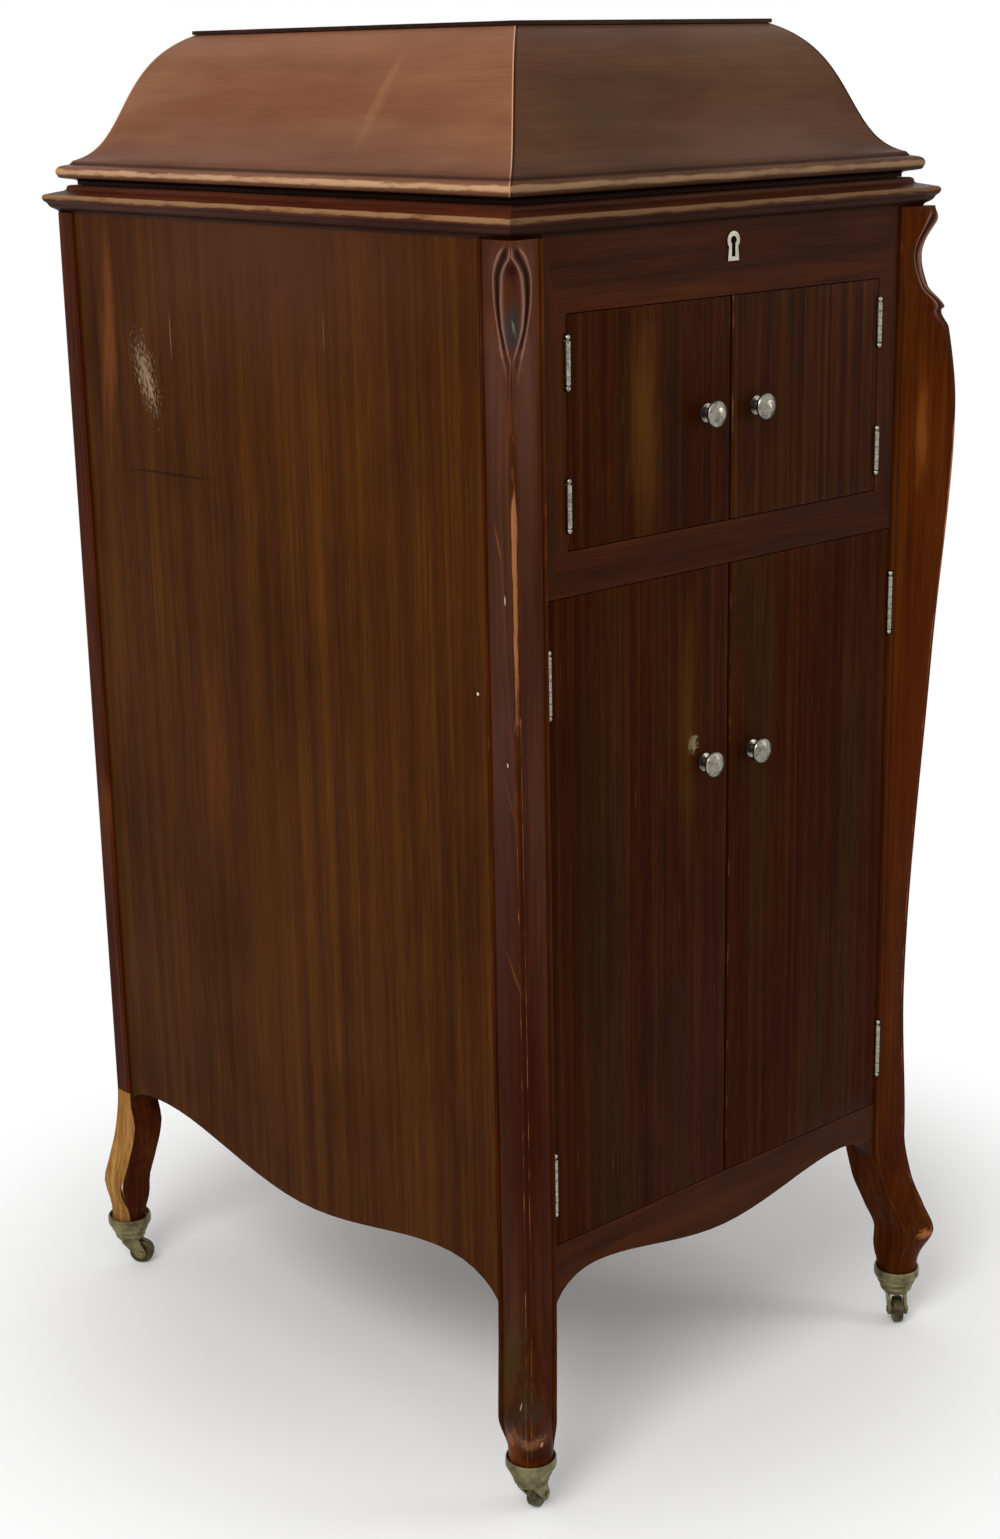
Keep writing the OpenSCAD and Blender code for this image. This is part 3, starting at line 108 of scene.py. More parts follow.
def makeCamera():
    data = bpy.data.cameras.new("camera")
    camera = linked("camera", data)
    yaw, pitch, roll = view["yaw"], view["pitch"], view["roll"]
    forward = Vector((math.sin(yaw) * math.cos(pitch), math.cos(yaw) * math.cos(pitch),
                      math.sin(pitch)))
    flatRight = forward.cross(Vector((0, 0, 1))).normalized()
    flatUp = flatRight.cross(forward)
    right = math.cos(roll) * flatRight + math.sin(roll) * flatUp
    up = math.cos(roll) * flatUp - math.sin(roll) * flatRight
    turn = Matrix((right, up, -forward)).transposed()
    camera.matrix_world = Matrix.Translation(place(*view["at"])) @ turn.to_4x4()
    data.sensor_fit = "VERTICAL"
    data.sensor_height = view["sensor"]
    data.sensor_width = view["sensor"]
    data.lens = view["focal"] / view["imageH"] * view["sensor"]
    data.clip_start = 0.05
    bpy.context.scene.camera = camera


makeCamera()
print("camera placed")

# Plain studio: an even pale room, one broad lamp from the left and a weak one from the right.
studio = {"room": 0.62, "keyPower": 46, "keyAt": (-2.3, -1.1, 2.5), "keySize": 1.7,
          "fillPower": 16, "fillAt": (2.0, -2.4, 1.5), "fillSize": 1.2, "aim": (0, 0, 0.62),
          "floorHalf": 30, "paper": "#fbfbfa", "nearShade": 0.3, "farShade": 0.68}


def makeLamp(name, at, size, power):
    data = bpy.data.lights.new(name, "AREA")
    data.shape = "DISK"
    data.size = size
    data.energy = power
    lamp = linked(name, data)
    lamp.location = at
    lamp.rotation_euler = (Vector(studio["aim"]) - Vector(at)).to_track_quat("-Z", "Y").to_euler()


def whiteBehind(tree):
    # 1 for the rays that see the room as a background: straight, mirrored or through glass.
    path = addNode(tree, "ShaderNodeLightPath")
    glossy = addNode(tree, "ShaderNodeMath", {"operation": "MAXIMUM"},
                     {0: path.outputs["Is Camera Ray"], 1: path.outputs["Is Glossy Ray"]})
    return addNode(tree, "ShaderNodeMath", {"operation": "MAXIMUM"},
                   {0: glossy, 1: path.outputs["Is Transmission Ray"]})


def makeRoom():
    world = bpy.data.worlds.new("paleRoom")
    bpy.context.scene.world = world
    world.use_nodes = True
    tree = world.node_tree
    tree.nodes.clear()
    light = addNode(tree, "ShaderNodeBackground", None, {"Color": hexToLinear("#ffffff"),
                                                        "Strength": studio["room"]})
    white = addNode(tree, "ShaderNodeBackground", None, {"Color": hexToLinear("#ffffff"),
                                                        "Strength": 1.0})
    mixed = addNode(tree, "ShaderNodeMixShader", None, {0: whiteBehind(tree), 1: light,
                                                       2: white})
    addNode(tree, "ShaderNodeOutputWorld", None, {"Surface": mixed})
    makeLamp("keyLamp", studio["keyAt"], studio["keySize"], studio["keyPower"])
    makeLamp("fillLamp", studio["fillAt"], studio["fillSize"], studio["fillPower"])


def makeFloor():
    # White paper floor: it keeps the shadow near the case and turns plain white further off.
    material, tree = startMaterial("whitePaper")
    away = addNode(tree, "ShaderNodeVectorMath", {"operation": "LENGTH"},
                   {0: addNode(tree, "ShaderNodeTexCoord").outputs["Object"]})
    far = addNode(tree, "ShaderNodeMapRange", {"interpolation_type": "SMOOTHSTEP"},
                  {"Value": away.outputs["Value"], "From Min": studio["nearShade"],
                   "From Max": studio["farShade"]})
    share = addNode(tree, "ShaderNodeMath", {"operation": "MULTIPLY"},
                    {0: far, 1: whiteBehind(tree)})
    paper = addNode(tree, "ShaderNodeBsdfDiffuse", None, {"Color": hexToLinear(studio["paper"])})
    glow = addNode(tree, "ShaderNodeEmission", None, {"Strength": 1.0})
    mixed = addNode(tree, "ShaderNodeMixShader", None, {0: share, 1: paper,
                                                       2: glow})
    addNode(tree, "ShaderNodeOutputMaterial", None, {"Surface": mixed})
    half = studio["floorHalf"]
    mesh = bpy.data.meshes.new("floor")
    mesh.from_pydata([(-half, -half, 0), (half, -half, 0), (half, half, 0), (-half, half, 0)], [],
                     [(0, 1, 2, 3)])
    mesh.materials.append(material)
    floor = linked("floor", mesh)


makeRoom()
makeFloor()
bpy.context.scene.view_settings.view_transform = "Standard"
print("room and floor made")

# Mahogany, stained red and French polished a century ago. Ribbon-cut veneer gives faint upright
# stripes with thin dark growth lines, the shellac a soft satin gloss, and age faded patches,
# grime, pale hair scratches and rubbed edges. Widths and lengths are in mm, across and along the
# grain. Pores are 0.3 mm on the real wood and are drawn 1.6 mm wide, so that they show. The worn,
# hollow and rim colours go where a mesh is painted with wear, which on the mouldings' noses is also
# a painted highlight, with painted shade in hollows, gaps and undersides, and with polish, whose
# colour is a painted sheen.
mahogany = {"tones": ("#240c06", "#3a170a", "#512811"), "ribbon": 9, "ribbonLength": 700,
            "streak": 1.6, "streakLength": 60, "streakDepth": 0.45, "streakShade": "#787878",
            "band": 46, "bandLength": 800, "faded": "#5c3404", "fade": 0.25,
            "blotch": 90, "blotchLength": 170, "blotchDepth": 0.3, "blotchShade": "#7d7673",
            "vein": 34, "veinLength": 900, "veinDepth": 0.4,
            "hair": 1.1, "hairLength": 42, "hairDepth": 0.22, "hairColour": "#80583a",
            "chip": 4, "chipLength": 26, "worn": "#8e6446", "hollow": "#1a0a06", "rim": "#8c6a5c",
            "rough": 0.4, "dirty": 0.08, "clean": -0.06, "handled": -0.22, "poreDepth": 0.25,
            "gloss": 0.05, "glossTint": "#ffc69c", "axis": 2, "seed": 0.0, "hip": None, "marks": []}


def apart(tree, value, other):
    # How far two values lie apart.
    step = addNode(tree, "ShaderNodeMath", {"operation": "SUBTRACT"}, {0: value, 1: other})
    return addNode(tree, "ShaderNodeMath", {"operation": "ABSOLUTE"}, {0: step})


def markValue(tree, coords, at, size, mark):
    # Grows from 0 in the middle of a mark, with a ragged rim near 1.
    local = addNode(tree, "ShaderNodeMapping", {"vector_type": "TEXTURE"},
                    {"Vector": coords, "Location": place(*at), "Rotation": mark["tilt"],
                     "Scale": [s * mm for s in size]})
    reach = addNode(tree, "ShaderNodeVectorMath", {"operation": "LENGTH"}, {0: local})
    rag = addNode(tree, "ShaderNodeTexNoise", None,
                  {"Vector": local, "Scale": mark["grit"], "Detail": 4})
    value = addNode(tree, "ShaderNodeMath", {"operation": "MULTIPLY_ADD"},
                    {0: rag.outputs["Fac"], 1: mark["rag"], 2: reach.outputs["Value"]})
    if mark["ring"]:
        value = addNode(tree, "ShaderNodeMath", {"operation": "MULTIPLY"},
                        {0: apart(tree, value, mark["ring"]), 1: 4.0})
    return value


def woodMaterial(name, **changes):
    look = {**mahogany, **changes}
    material, tree = startMaterial(name)
    coords = addNode(tree, "ShaderNodeTexCoord").outputs["Object"]

    def figure(width, length, detail, shift):
        size = [width * mm] * 3
        size[look["axis"]] = length * mm
        mapped = addNode(tree, "ShaderNodeMapping", {"vector_type": "TEXTURE"},
                         {"Vector": coords, "Scale": size,
                          "Location": (look["seed"] + shift, look["seed"] * 0.7, shift)})
        return addNode(tree, "ShaderNodeTexNoise", None,
                       {"Vector": mapped, "Scale": 1.0, "Detail": detail,
                        "Roughness": 0.6, "Distortion": 0.2}).outputs["Fac"]

    ribbon = figure(look["ribbon"], look["ribbonLength"], 3, 0.13)
    colour = addNode(tree, "ShaderNodeValToRGB", {"stops": list(zip((0.28, 0.5, 0.72), look["tones"]))},
                     {"Fac": ribbon})
    pores = figure(look["streak"], look["streakLength"], 2, 0.71)
    poreShade = addNode(tree, "ShaderNodeValToRGB",
                        {"stops": [(0.3, look["streakShade"]), (0.62, "#ffffff")]}, {"Fac": pores})
    blotch = figure(look["blotch"], look["blotchLength"], 3, 0.53)
    darkening = addNode(tree, "ShaderNodeValToRGB",
                    {"stops": [(0.34, look["blotchShade"]), (0.6, "#ffffff")]}, {"Fac": blotch})
    vein = apart(tree, figure(look["vein"], look["veinLength"], 1, 0.29), 0.5)
    # Layers over the ribbons, from below: the value that steers each, the two values between which it
    # fades with its strength at both, its colour, and how it is laid.
    layers = [
        (figure(look["band"], look["bandLength"], 2, 0.37), (0.5, 0.72, 0, look["fade"]),
         look["faded"], "MIX"),
        (look["streakDepth"], None, poreShade, "MULTIPLY"),
        (vein, (0.002, 0.014, look["veinDepth"], 0), look["tones"][0], "MIX"),
        (figure(look["hair"], look["hairLength"], 1, 0.83), (0.72, 0.8, 0, look["hairDepth"]),
         look["hairColour"], "MIX"),
        (look["blotchDepth"], None, darkening, "MULTIPLY"),
    ]
    for at, size, tint, strength, more in look["marks"]:
        mark = {**plainMark, **more}
        rim = mark["rag"] / 2
        layers.append((markValue(tree, coords, at, size, mark),
                       (mark["core"] + rim, 1.0 + rim, strength, 0), tint, "MIX"))
    if look["hip"]:
        # A thin line along the mitres, where two sides meet.
        tint, near, far = look["hip"]
        parts = addNode(tree, "ShaderNodeSeparateXYZ", None, {0: coords}).outputs
        across = addNode(tree, "ShaderNodeMath", {"operation": "SUBTRACT"},
                         {0: apart(tree, parts["Y"], caseY * mm), 1: apart(tree, parts["X"], caseX * mm)})
        layers.append((apart(tree, across, (noseY - noseX) * mm),
                       (near * mm, far * mm, 0.9, 0), tint, "MIX"))
    painted = {label: addNode(tree, "ShaderNodeAttribute", {"attribute_name": label}).outputs["Fac"]
               for label in ("wear", "hollow", "polish")}
    chipped = addNode(tree, "ShaderNodeMath", {"operation": "MULTIPLY_ADD"},
                      {0: figure(look["chip"], look["chipLength"], 4, 0.91), 1: 1.1,
                       2: painted["wear"]})
    # Wear, in places with a painted highlight, then painted shade and painted sheen, as painted on the
    # mesh.
    layers += [(chipped, (0.85, 1.25, 0, 1), look["worn"], "MIX"),
               (painted["hollow"], None, look["hollow"], "MIX"),
               (painted["polish"], None, look["rim"], "MIX")]
    for share, fades, tint, laid in layers:
        if fades:
            ends = dict(zip(("From Min", "From Max", "To Min", "To Max"), fades))
            share = addNode(tree, "ShaderNodeMapRange", {"interpolation_type": "SMOOTHSTEP"},
                            {"Value": share, **ends})
        over = hexToLinear(tint) if isinstance(tint, str) else tint
        colour = addNode(tree, "ShaderNodeMix", {"data_type": "RGBA", "blend_type": laid},
                         {0: share, 6: colour, 7: over}).outputs[2]
    sheen = addNode(tree, "ShaderNodeMapRange", {"interpolation_type": "SMOOTHSTEP"},
                    {"Value": blotch, "From Min": 0.3, "From Max": 0.7,
                     "To Min": look["rough"] + look["dirty"], "To Max": look["rough"] + look["clean"]})
    roughness = addNode(tree, "ShaderNodeMath", {"operation": "MULTIPLY_ADD"},
                        {0: painted["polish"], 1: look["handled"], 2: sheen})
    bump = addNode(tree, "ShaderNodeBump", None, {"Height": pores, "Strength": 0.25,
                                                 "Distance": look["poreDepth"] * mm})
    skin = addNode(tree, "ShaderNodeBsdfPrincipled", None,
                   {"Base Color": colour, "Roughness": roughness,
                    "Normal": bump, "IOR": 1.5, "Specular IOR Level": look["gloss"],
                    "Specular Tint": hexToLinear(look["glossTint"])})
    addNode(tree, "ShaderNodeOutputMaterial", None, {"Surface": skin})
    return material


# Metals keep the default IOR: the colour, the roughness and how it varies tell them apart.
metal = {"stops": (0.36, 0.6), "dullRough": 0.12, "brightRough": -0.08, "bump": 0.2, "bumpDepth": 0.15}


def metalMaterial(name, bright, dull, rough, grit, metallic=1.0, coat=0.0):
    material, tree = startMaterial(name)
    coords = addNode(tree, "ShaderNodeTexCoord").outputs["Object"]
    mapped = addNode(tree, "ShaderNodeMapping", {"vector_type": "TEXTURE"},
                     {"Vector": coords, "Scale": [grit * mm] * 3})
    cloud = addNode(tree, "ShaderNodeTexNoise", None,
                    {"Vector": mapped, "Scale": 1.0, "Detail": 5, "Roughness": 0.65}).outputs["Fac"]
    colour = addNode(tree, "ShaderNodeValToRGB", {"stops": list(zip(metal["stops"], (dull, bright)))},
                     {"Fac": cloud})
    gloss = addNode(tree, "ShaderNodeMapRange", None,
                    {"Value": cloud, "From Min": 0.3, "From Max": 0.7,
                     "To Min": rough + metal["dullRough"], "To Max": rough + metal["brightRough"]})
    bump = addNode(tree, "ShaderNodeBump", None, {"Height": cloud, "Strength": metal["bump"],
                                                 "Distance": metal["bumpDepth"] * mm})
    skin = addNode(tree, "ShaderNodeBsdfPrincipled", None,
                   {"Base Color": colour, "Roughness": gloss,
                    "Metallic": metallic, "Normal": bump, "Coat Weight": coat})
    addNode(tree, "ShaderNodeOutputMaterial", None, {"Surface": skin})
    return material


# Wool felt, pressed and dyed green: matt, with a short nap that scatters light at its rim.
felt = {"dark": "#22382a", "light": "#3d5a42", "faded": "#4a5a3c", "nap": 1.2, "patch": 60,
        "napDepth": 0.5, "rough": 0.95, "sheen": 0.4, "gloss": 0.2}


def feltMaterial():
    material, tree = startMaterial("greenWoolFelt")
    coords = addNode(tree, "ShaderNodeTexCoord").outputs["Object"]
    nap = addNode(tree, "ShaderNodeTexNoise", None, {"Vector": coords, "Scale": 1 / (felt["nap"] * mm),
                                                    "Detail": 4})
    patches = addNode(tree, "ShaderNodeTexNoise", None,
                      {"Vector": coords, "Scale": 1 / (felt["patch"] * mm)})
    colour = addNode(tree, "ShaderNodeValToRGB", {"stops": [(0.3, felt["dark"]), (0.7, felt["light"])]},
                     {"Fac": nap.outputs["Fac"]})
    faded = addNode(tree, "ShaderNodeMix", {"data_type": "RGBA"},
                    {0: patches.outputs["Fac"], 6: colour, 7: hexToLinear(felt["faded"])})
    bump = addNode(tree, "ShaderNodeBump", None, {"Height": nap.outputs["Fac"], "Strength": 0.6,
                                                 "Distance": felt["napDepth"] * mm})
    skin = addNode(tree, "ShaderNodeBsdfPrincipled", None,
                   {"Base Color": faded.outputs[2], "Roughness": felt["rough"],
                    "Sheen Weight": felt["sheen"], "Normal": bump,
                    "Specular IOR Level": felt["gloss"]})
    addNode(tree, "ShaderNodeOutputMaterial", None, {"Surface": skin})
    return material


# Marks on the case: rubbed, faded, scratched or chipped spots, and on the posts a few painted
# highlights and a painted reflection. Each row is place in mm, half sizes in mm, colour, strength,
# and what differs from the plain mark below: how ragged its rim is, how much of it is full colour,
# how fine the rag is, its turn, and how far out its ring lies if it is only a ring.
plainMark = {"rag": 1.2, "core": 0.5, "grit": 3.0, "tilt": (0, 0, 0), "ring": None}
marks = {
    "side": [
        ((-219, 0, 960), (30, 300, 150), "#4c2c1c", 0.7, {"rag": 0.5, "core": 0}),
        ((-219, 220, 875), (20, 16, 120), "#7c4420", 0.55, {"tilt": (0.08, 0, 0), "rag": 1.0, "core": 0}),
        ((-219, 234, 640), (20, 18, 200), "#5e3610", 0.4, {"core": 0}),
        ((-219, 168, 850), (20, 14, 34), "#a88e74", 0.5,
         {"tilt": (-0.3, 0, 0), "rag": 4, "grit": 7, "core": 0}),
        ((-219, 161, 838), (20, 1.6, 22), "#a68c70", 0.5, {"tilt": (-0.4, 0, 0), "rag": 1.8}),
        ((-219, 129, 884), (20, 1.0, 24), "#866644", 0.5, {"rag": 0.8}),
        ((-219, -72, 902), (20, 0.9, 20), "#785838", 0.4, {"rag": 0.8}),
        ((-219, 142, 771), (20, 78, 1.5), "#241006", 0.8, {"tilt": (-0.03, 0, 0), "rag": 1.0, "grit": 2}),
        ((-219, 98, 535), (20, 24, 120), "#5e3210", 0.4, {"core": 0}),
        ((-219, 20, 420), (20, 80, 260), "#532e0a", 0.35, {"core": 0}),
        ((-219, -238, 653), (5, 1.6, 1.5), "#e0d0b4", 1, {"rag": 0.2}),
    ],
    "doors": [
        ((-40, -282, 588), (6, 20, 8), "#8f8064", 0.8, {"rag": 2.6, "grit": 2.5}),
        ((-46, -282, 600), (13, 20, 150), "#4c300c", 0.6, {"rag": 0.8, "core": 0}),
        ((-26, -282, 660), (11, 20, 170), "#1e0e05", 0.5, {"rag": 0.8, "core": 0}),
        ((-92, -282, 840), (21, 20, 120), "#5c3712", 0.6, {"rag": 0.8, "core": 0}),
        ((-60, -282, 840), (16, 20, 130), "#22140a", 0.5, {"rag": 0.6, "core": 0}),
    ],
    "posts": [
        ((-226, -290, 330), (60, 60, 380), "#2b0700", 0.9, {"rag": 0.6, "core": 0}),
        ((-219, -300, 900), (30, 60, 190), "#623c2c", 0.7, {"rag": 0.6, "core": 0}),
        ((226, -290, 480), (60, 60, 420), "#4c1c06", 0.5, {"rag": 0.6, "core": 0}),
        ((-232, -277, 771), (9, 2.4, 21), "#7c4622", 0.8,
         {"tilt": (-0.48, 0, 0), "rag": 0.7, "core": 0.2}),
        ((-232, -283, 583), (9, 2.2, 24), "#623414", 0.6, {"tilt": (-0.4, 0, 0), "rag": 0.7, "core": 0.2}),
        ((-228, -279, 448), (9, 2.4, 24), "#6c3a14", 0.7, {"tilt": (-0.5, 0, 0), "rag": 0.7, "core": 0.2}),
        # On the right post's knee: an orange painted highlight where the knee swells out.
        ((214, -286, 800), (8, 30, 60), "#84461a", 0.65, {"rag": 0.8, "core": 0}),
        ((-232, -281, 610), (8, 1.2, 2.2), "#e0c4a8", 0.9, {"rag": 0.3}),
        ((-234, -287, 732), (8, 1.1, 4.5), "#e0bfa0", 0.9, {"rag": 0.6}),
        ((-232, -294, 492), (8, 1.1, 3), "#d8bea4", 0.9, {"rag": 0.3}),
        # The spoon's bowl: a painted reflection, dark red high up and dark grey low down, with one painted
        # highlight streak beside the middle.
        ((-224, -287, 958), (9, 9, 26), "#2e0c05", 0.8, {"rag": 0.4, "core": 0}),
        ((-224, -287, 920), (11, 11, 26), "#3a3330", 0.9, {"rag": 0.3}),
        ((-221.8, -288.4, 928), (2.2, 5, 17), "#bab8b0", 0.95, {"rag": 0.7, "core": 0.2}),
        # The near foot: olive outside, scuffed and chipped round its carved scrolls.
        ((-240, -280, 60), (12, 18, 24), "#663818", 0.7, {"rag": 0.8, "core": 0}),
        ((-231, -274, 130), (16, 22, 70), "#3c2a0c", 0.85, {"rag": 0.9, "grit": 5, "core": 0.1}),
        ((-242, -283, 70), (12, 6, 8), "#8c5028", 0.7, {"rag": 0.8, "grit": 1.5, "ring": 0.8}),
        ((-243, -289, 79), (12, 7, 12), "#784422", 0.7, {"rag": 2.4, "core": 0}),
        ((-240, -304, 73), (18, 15, 7), "#7a4a2a", 0.8, {"rag": 3.4, "grit": 6}),
        ((-236, -301, 98), (20, 16, 16), "#372a20", 0.8, {"rag": 0.8, "core": 0}),
        ((-241, -296, 118), (16, 14, 50), "#2a2212", 0.75, {"rag": 2.2, "grit": 5, "core": 0}),
        ((-243, -284, 92), (8, 16, 22), "#241708", 0.7, {"rag": 3.0, "grit": 7, "core": 0}),
        ((-232, -304, 59), (26, 16, 9), "#2c0f06", 0.75, {"rag": 0.6}),
        ((-228, -304, 69), (1.6, 12, 3), "#c8987c", 0.8, {"rag": 0.6}),
        ((-233, -300, 148), (0.9, 12, 9), "#8c6a5a", 0.7, {"rag": 0.8}),
        # A painted highlight: a thin pale line on the foot's outer face above its scroll.
        ((-243, -295, 103), (12, 0.8, 4), "#b89c84", 0.8, {"rag": 0.6}),
        ((236, -300, 84), (14, 14, 8), "#a3653a", 0.8, {"grit": 2}),
    ],
    "bareLeg": [
        ((-236, 266, 74), (12, 2.0, 24), "#2c160a", 0.95, {"rag": 0.3}),
        ((-236, 265, 88), (12, 0.8, 5), "#d2bfa0", 0.9, {"rag": 0.2}),
        ((-236, 280, 110), (16, 3, 60), "#c49a58", 0.5, {"rag": 0.5}),
        ((-230, 284, 187), (20, 30, 7), "#3a1a0c", 0.9, {"grit": 6}),
    ],
    "lidSide": [
        ((-190, 0, 1028), (60, 400, 30), "#6c4c3a", 0.6, {"grit": 2, "core": 0}),
        ((-165, 40, 1066), (60, 220, 22), "#7a4632", 0.6, {"rag": 1.6, "grit": 2, "core": 0}),
        ((-160, -90, 1060), (60, 10, 60), "#a07850", 0.3, {"tilt": (0.3, 0, 0), "core": 0}),
        ((-150, 0, 1108), (60, 400, 22), "#905c40", 0.5, {"rag": 1.0, "grit": 2, "core": 0}),
    ],
    "lidFront": [
        ((-90, -260, 1050), (90, 90, 60), "#40321f", 0.5, {"grit": 2, "core": 0}),
        ((60, -260, 1030), (140, 90, 34), "#664a3a", 0.5, {"grit": 2, "core": 0}),
    ],
}

# Tones run from dark over middle to light.
# The lid's light, greyish tones carry a painted hazy reflection of the sky on its slopes.
lidWoodWithSkySheen = {"axis": 1, "tones": ("#774a34", "#81523a", "#8d5d43"), "streakDepth": 0.14,
               "ribbon": 34, "ribbonLength": 300, "fade": 0.4, "faded": "#9a6e4c", "band": 90,
               "bandLength": 240, "blotch": 60, "veinDepth": 0.1, "hairDepth": 0.06}
oiledWood = {"tones": ("#3d1e12", "#57301c", "#6d4025"), "ribbon": 16, "ribbonLength": 400,
             "rough": 0.5}
frameTones = ("#270d02", "#381604", "#471f06")
woods = {
    "side": woodMaterial("frenchPolishedMahogany_side", tones=("#391a06", "#482509", "#57310c"),
                         gloss=0.02, ribbon=11, ribbonLength=1100, marks=marks["side"], seed=0.2),
    "sideRight": woodMaterial("frenchPolishedMahogany_sideRight",
                              tones=("#331507", "#43200c", "#522c13"),
                              ribbon=11, ribbonLength=1100, seed=1.7),
    "doors": woodMaterial("ribbonMahogany_doors", tones=("#270a01", "#351302", "#431f07"), gloss=0.02,
                          ribbon=6, vein=18, band=44, faded="#2f200b", fade=0.55,
                          marks=marks["doors"], seed=3.1),
    "doorGrey": woodMaterial("ribbonMahogany_upperRight", tones=("#210d05", "#351706", "#4a280c"),
                             gloss=0.03, ribbon=5, vein=18, seed=4.4),
    "frame": woodMaterial("mahoganyAcross_frame", tones=frameTones, axis=0, ribbon=13,
                          ribbonLength=260, fade=0.1, vein=40, hairDepth=0.08, seed=5.2),
    "stile": woodMaterial("mahogany_stile", tones=frameTones, hairDepth=0.1, seed=5.9),
    "posts": woodMaterial("stainedMahogany_posts", tones=("#3a1503", "#4b2006", "#5d2d0a"),
                          gloss=0.025, ribbonLength=400, fade=0.1, worn="#925e3a",
                          marks=marks["posts"], hairDepth=0.1, rough=0.34, seed=6.3),
    "rearPosts": woodMaterial("stainedMahogany_rearPosts", tones=("#351106", "#451b0b", "#57260e"),
                              gloss=0.025, ribbonLength=500, faded="#6e3c10", fade=0.5, band=60,
                              bandLength=160, rough=0.36, seed=6.9),
    # Where the stain and polish came off the rear leg: pale bare wood with its grain.
    "bare": woodMaterial("bareMahogany_rearLeg", tones=("#93602a", "#a9753a", "#bd8c4c"),
                         faded="#c49a5c", ribbon=5, ribbonLength=220, marks=marks["bareLeg"], rough=0.6,
                         veinDepth=0.3, hairDepth=0.1, seed=6.6),
    # Mouldings: the worn colour on their noses is wear and a painted highlight, lighter on the side than
    # on the front.
    "mouldFront": woodMaterial("mahoganyAcross_mouldings", tones=("#34170d", "#462314", "#582f1a"),
                               axis=0, ribbonLength=240, fade=0.15, worn="#664a30", hairDepth=0.05,
                               seed=7.4),
    "mouldSide": woodMaterial("mahoganyAlong_mouldings", tones=("#4a1e10", "#5c2916", "#6e3720"),
                              axis=1, ribbonLength=240, fade=0.15, worn="#8a6442", hairDepth=0.05,
                              seed=8.1),
    # The lid: its tones carry a painted hazy reflection of the sky, lighter on the side than on the front,
    # and the worn colour on its nose is also a painted highlight.
    "lidFront": woodMaterial("mahoganyAcross_lid", tones=("#4b2e20", "#553726", "#5f402c"), axis=0,
                             streakDepth=0.14, ribbon=30, ribbonLength=300, fade=0.3,
                             faded="#5f4a36", band=130, bandLength=260, veinDepth=0.1, hairDepth=0.06,
                             worn="#84664c", marks=marks["lidFront"], hip=("#1e100a", 1.2, 3.0),
                             seed=9.3),
    "lidSide": woodMaterial("mahoganyAlong_lid", **lidWoodWithSkySheen, worn="#b8906c",
                            marks=marks["lidSide"], hip=("#c8936c", 0.8, 1.8), seed=10.6),
    # The flat board on top of the lid: one plank without marks, in the lid's light tones with their
    # painted reflection of the sky.
    "lidTop": woodMaterial("mahoganyTop_lid", **lidWoodWithSkySheen, seed=10.7),
    # The lid board's edges: very dark mahogany.
    "edge": woodMaterial("darkMahogany_edges", tones=("#1c0c07", "#2a150d", "#3a2014"), axis=0,
                         seed=10.9),
    # Inner boards, only oiled: paler and matt.
    "inside": woodMaterial("oiledMahogany_inside", **oiledWood, axis=0, seed=11.2),
    "insideUp": woodMaterial("oiledMahogany_upright", **oiledWood, seed=12.5),
    # Beech stained black, worn shiny by the hand.
    "grip": woodMaterial("ebonisedBeech_grip", tones=("#120b08", "#1c120d", "#2a1a12"), axis=0,
                         ribbon=3, ribbonLength=60, fade=0.1, rough=0.28, seed=13.1),
}
metals = {
    # Nickel plate on brass: warm grey, soft mirror, with tarnish spots.
    "nickel": metalMaterial("nickelPlate", "#aca896", "#8d8979", 0.24, 9),
    # The door hinges' nickel, worn grey by the hand.
    "wornNickel": metalMaterial("wornNickelPlate", "#a39e8e", "#6c675a", 0.3, 3),
    # The knobs' nickel, rubbed thin and gone the grey of pewter.
    "knobNickel": metalMaterial("rubbedNickel_knobs", "#938f82", "#67645a", 0.28, 4),
    # Lacquered brass: yellow, with brown tarnish where the lacquer is gone.
    "brass": metalMaterial("lacqueredBrass", "#b89a5a", "#7a6236", 0.32, 6),
    # Ground and oiled steel: grey, fine and even.
    "steel": metalMaterial("oiledSteel", "#8d8d8b", "#5e5d5a", 0.38, 3),
    # Japanned cast iron: black varnish over a slightly rough casting.
    "iron": metalMaterial("japannedIron", "#1c1a19", "#100e0d", 0.4, 5, 0.0, 0.4),
    # Aged zinc-dipped iron of the casters: olive grey and dull.
    "casterIron": metalMaterial("agedCasterIron", "#827a58", "#59523a", 0.42, 12),
    # Cast wheels, worn dark by the floor.
    "casterWheel": metalMaterial("wornCasterWheel", "#5c553d", "#383222", 0.5, 9),
}
metals["felt"] = feltMaterial()
print("materials made")


# Where one wood ends and another begins, in mm: the stiles' inner side and the doors' reach up and
# down, the height of the bare wood on the rear leg, and how far up a face of the lid's board looks.
woodEnds = {"stileX": 169, "doorsLow": 756, "doorsHigh": 924, "bareTop": 188, "topFace": 0.7}


# What the carried-over pieces are made of. A rule picks the material of each face by where it lies
# or which way it looks.
def dress(names, materials, rule=None):
    for name in names:
        mesh = nodes[name].data
        mesh.materials.clear()
        for material in materials:
            mesh.materials.append(material)
        for face in mesh.polygons:
            face.material_index = rule(face) if rule else 0


def frameWood(face):
    # The stiles beside the upper doors stand upright; frieze and rail run across.
    x = abs(face.center.x / mm - caseX)
    z = face.center.z / mm
    beside = x > woodEnds["stileX"] and woodEnds["doorsLow"] < z < woodEnds["doorsHigh"]
    return 1 if beside else 0


def bareLeg(face):
    outer = face.normal.x < -0.5 and face.center.x / mm < caseX
    return 1 if outer and face.center.z / mm < woodEnds["bareTop"] else 0


def lidBoardEdge(face):
    return 1 if face.normal.z < woodEnds["topFace"] else 0


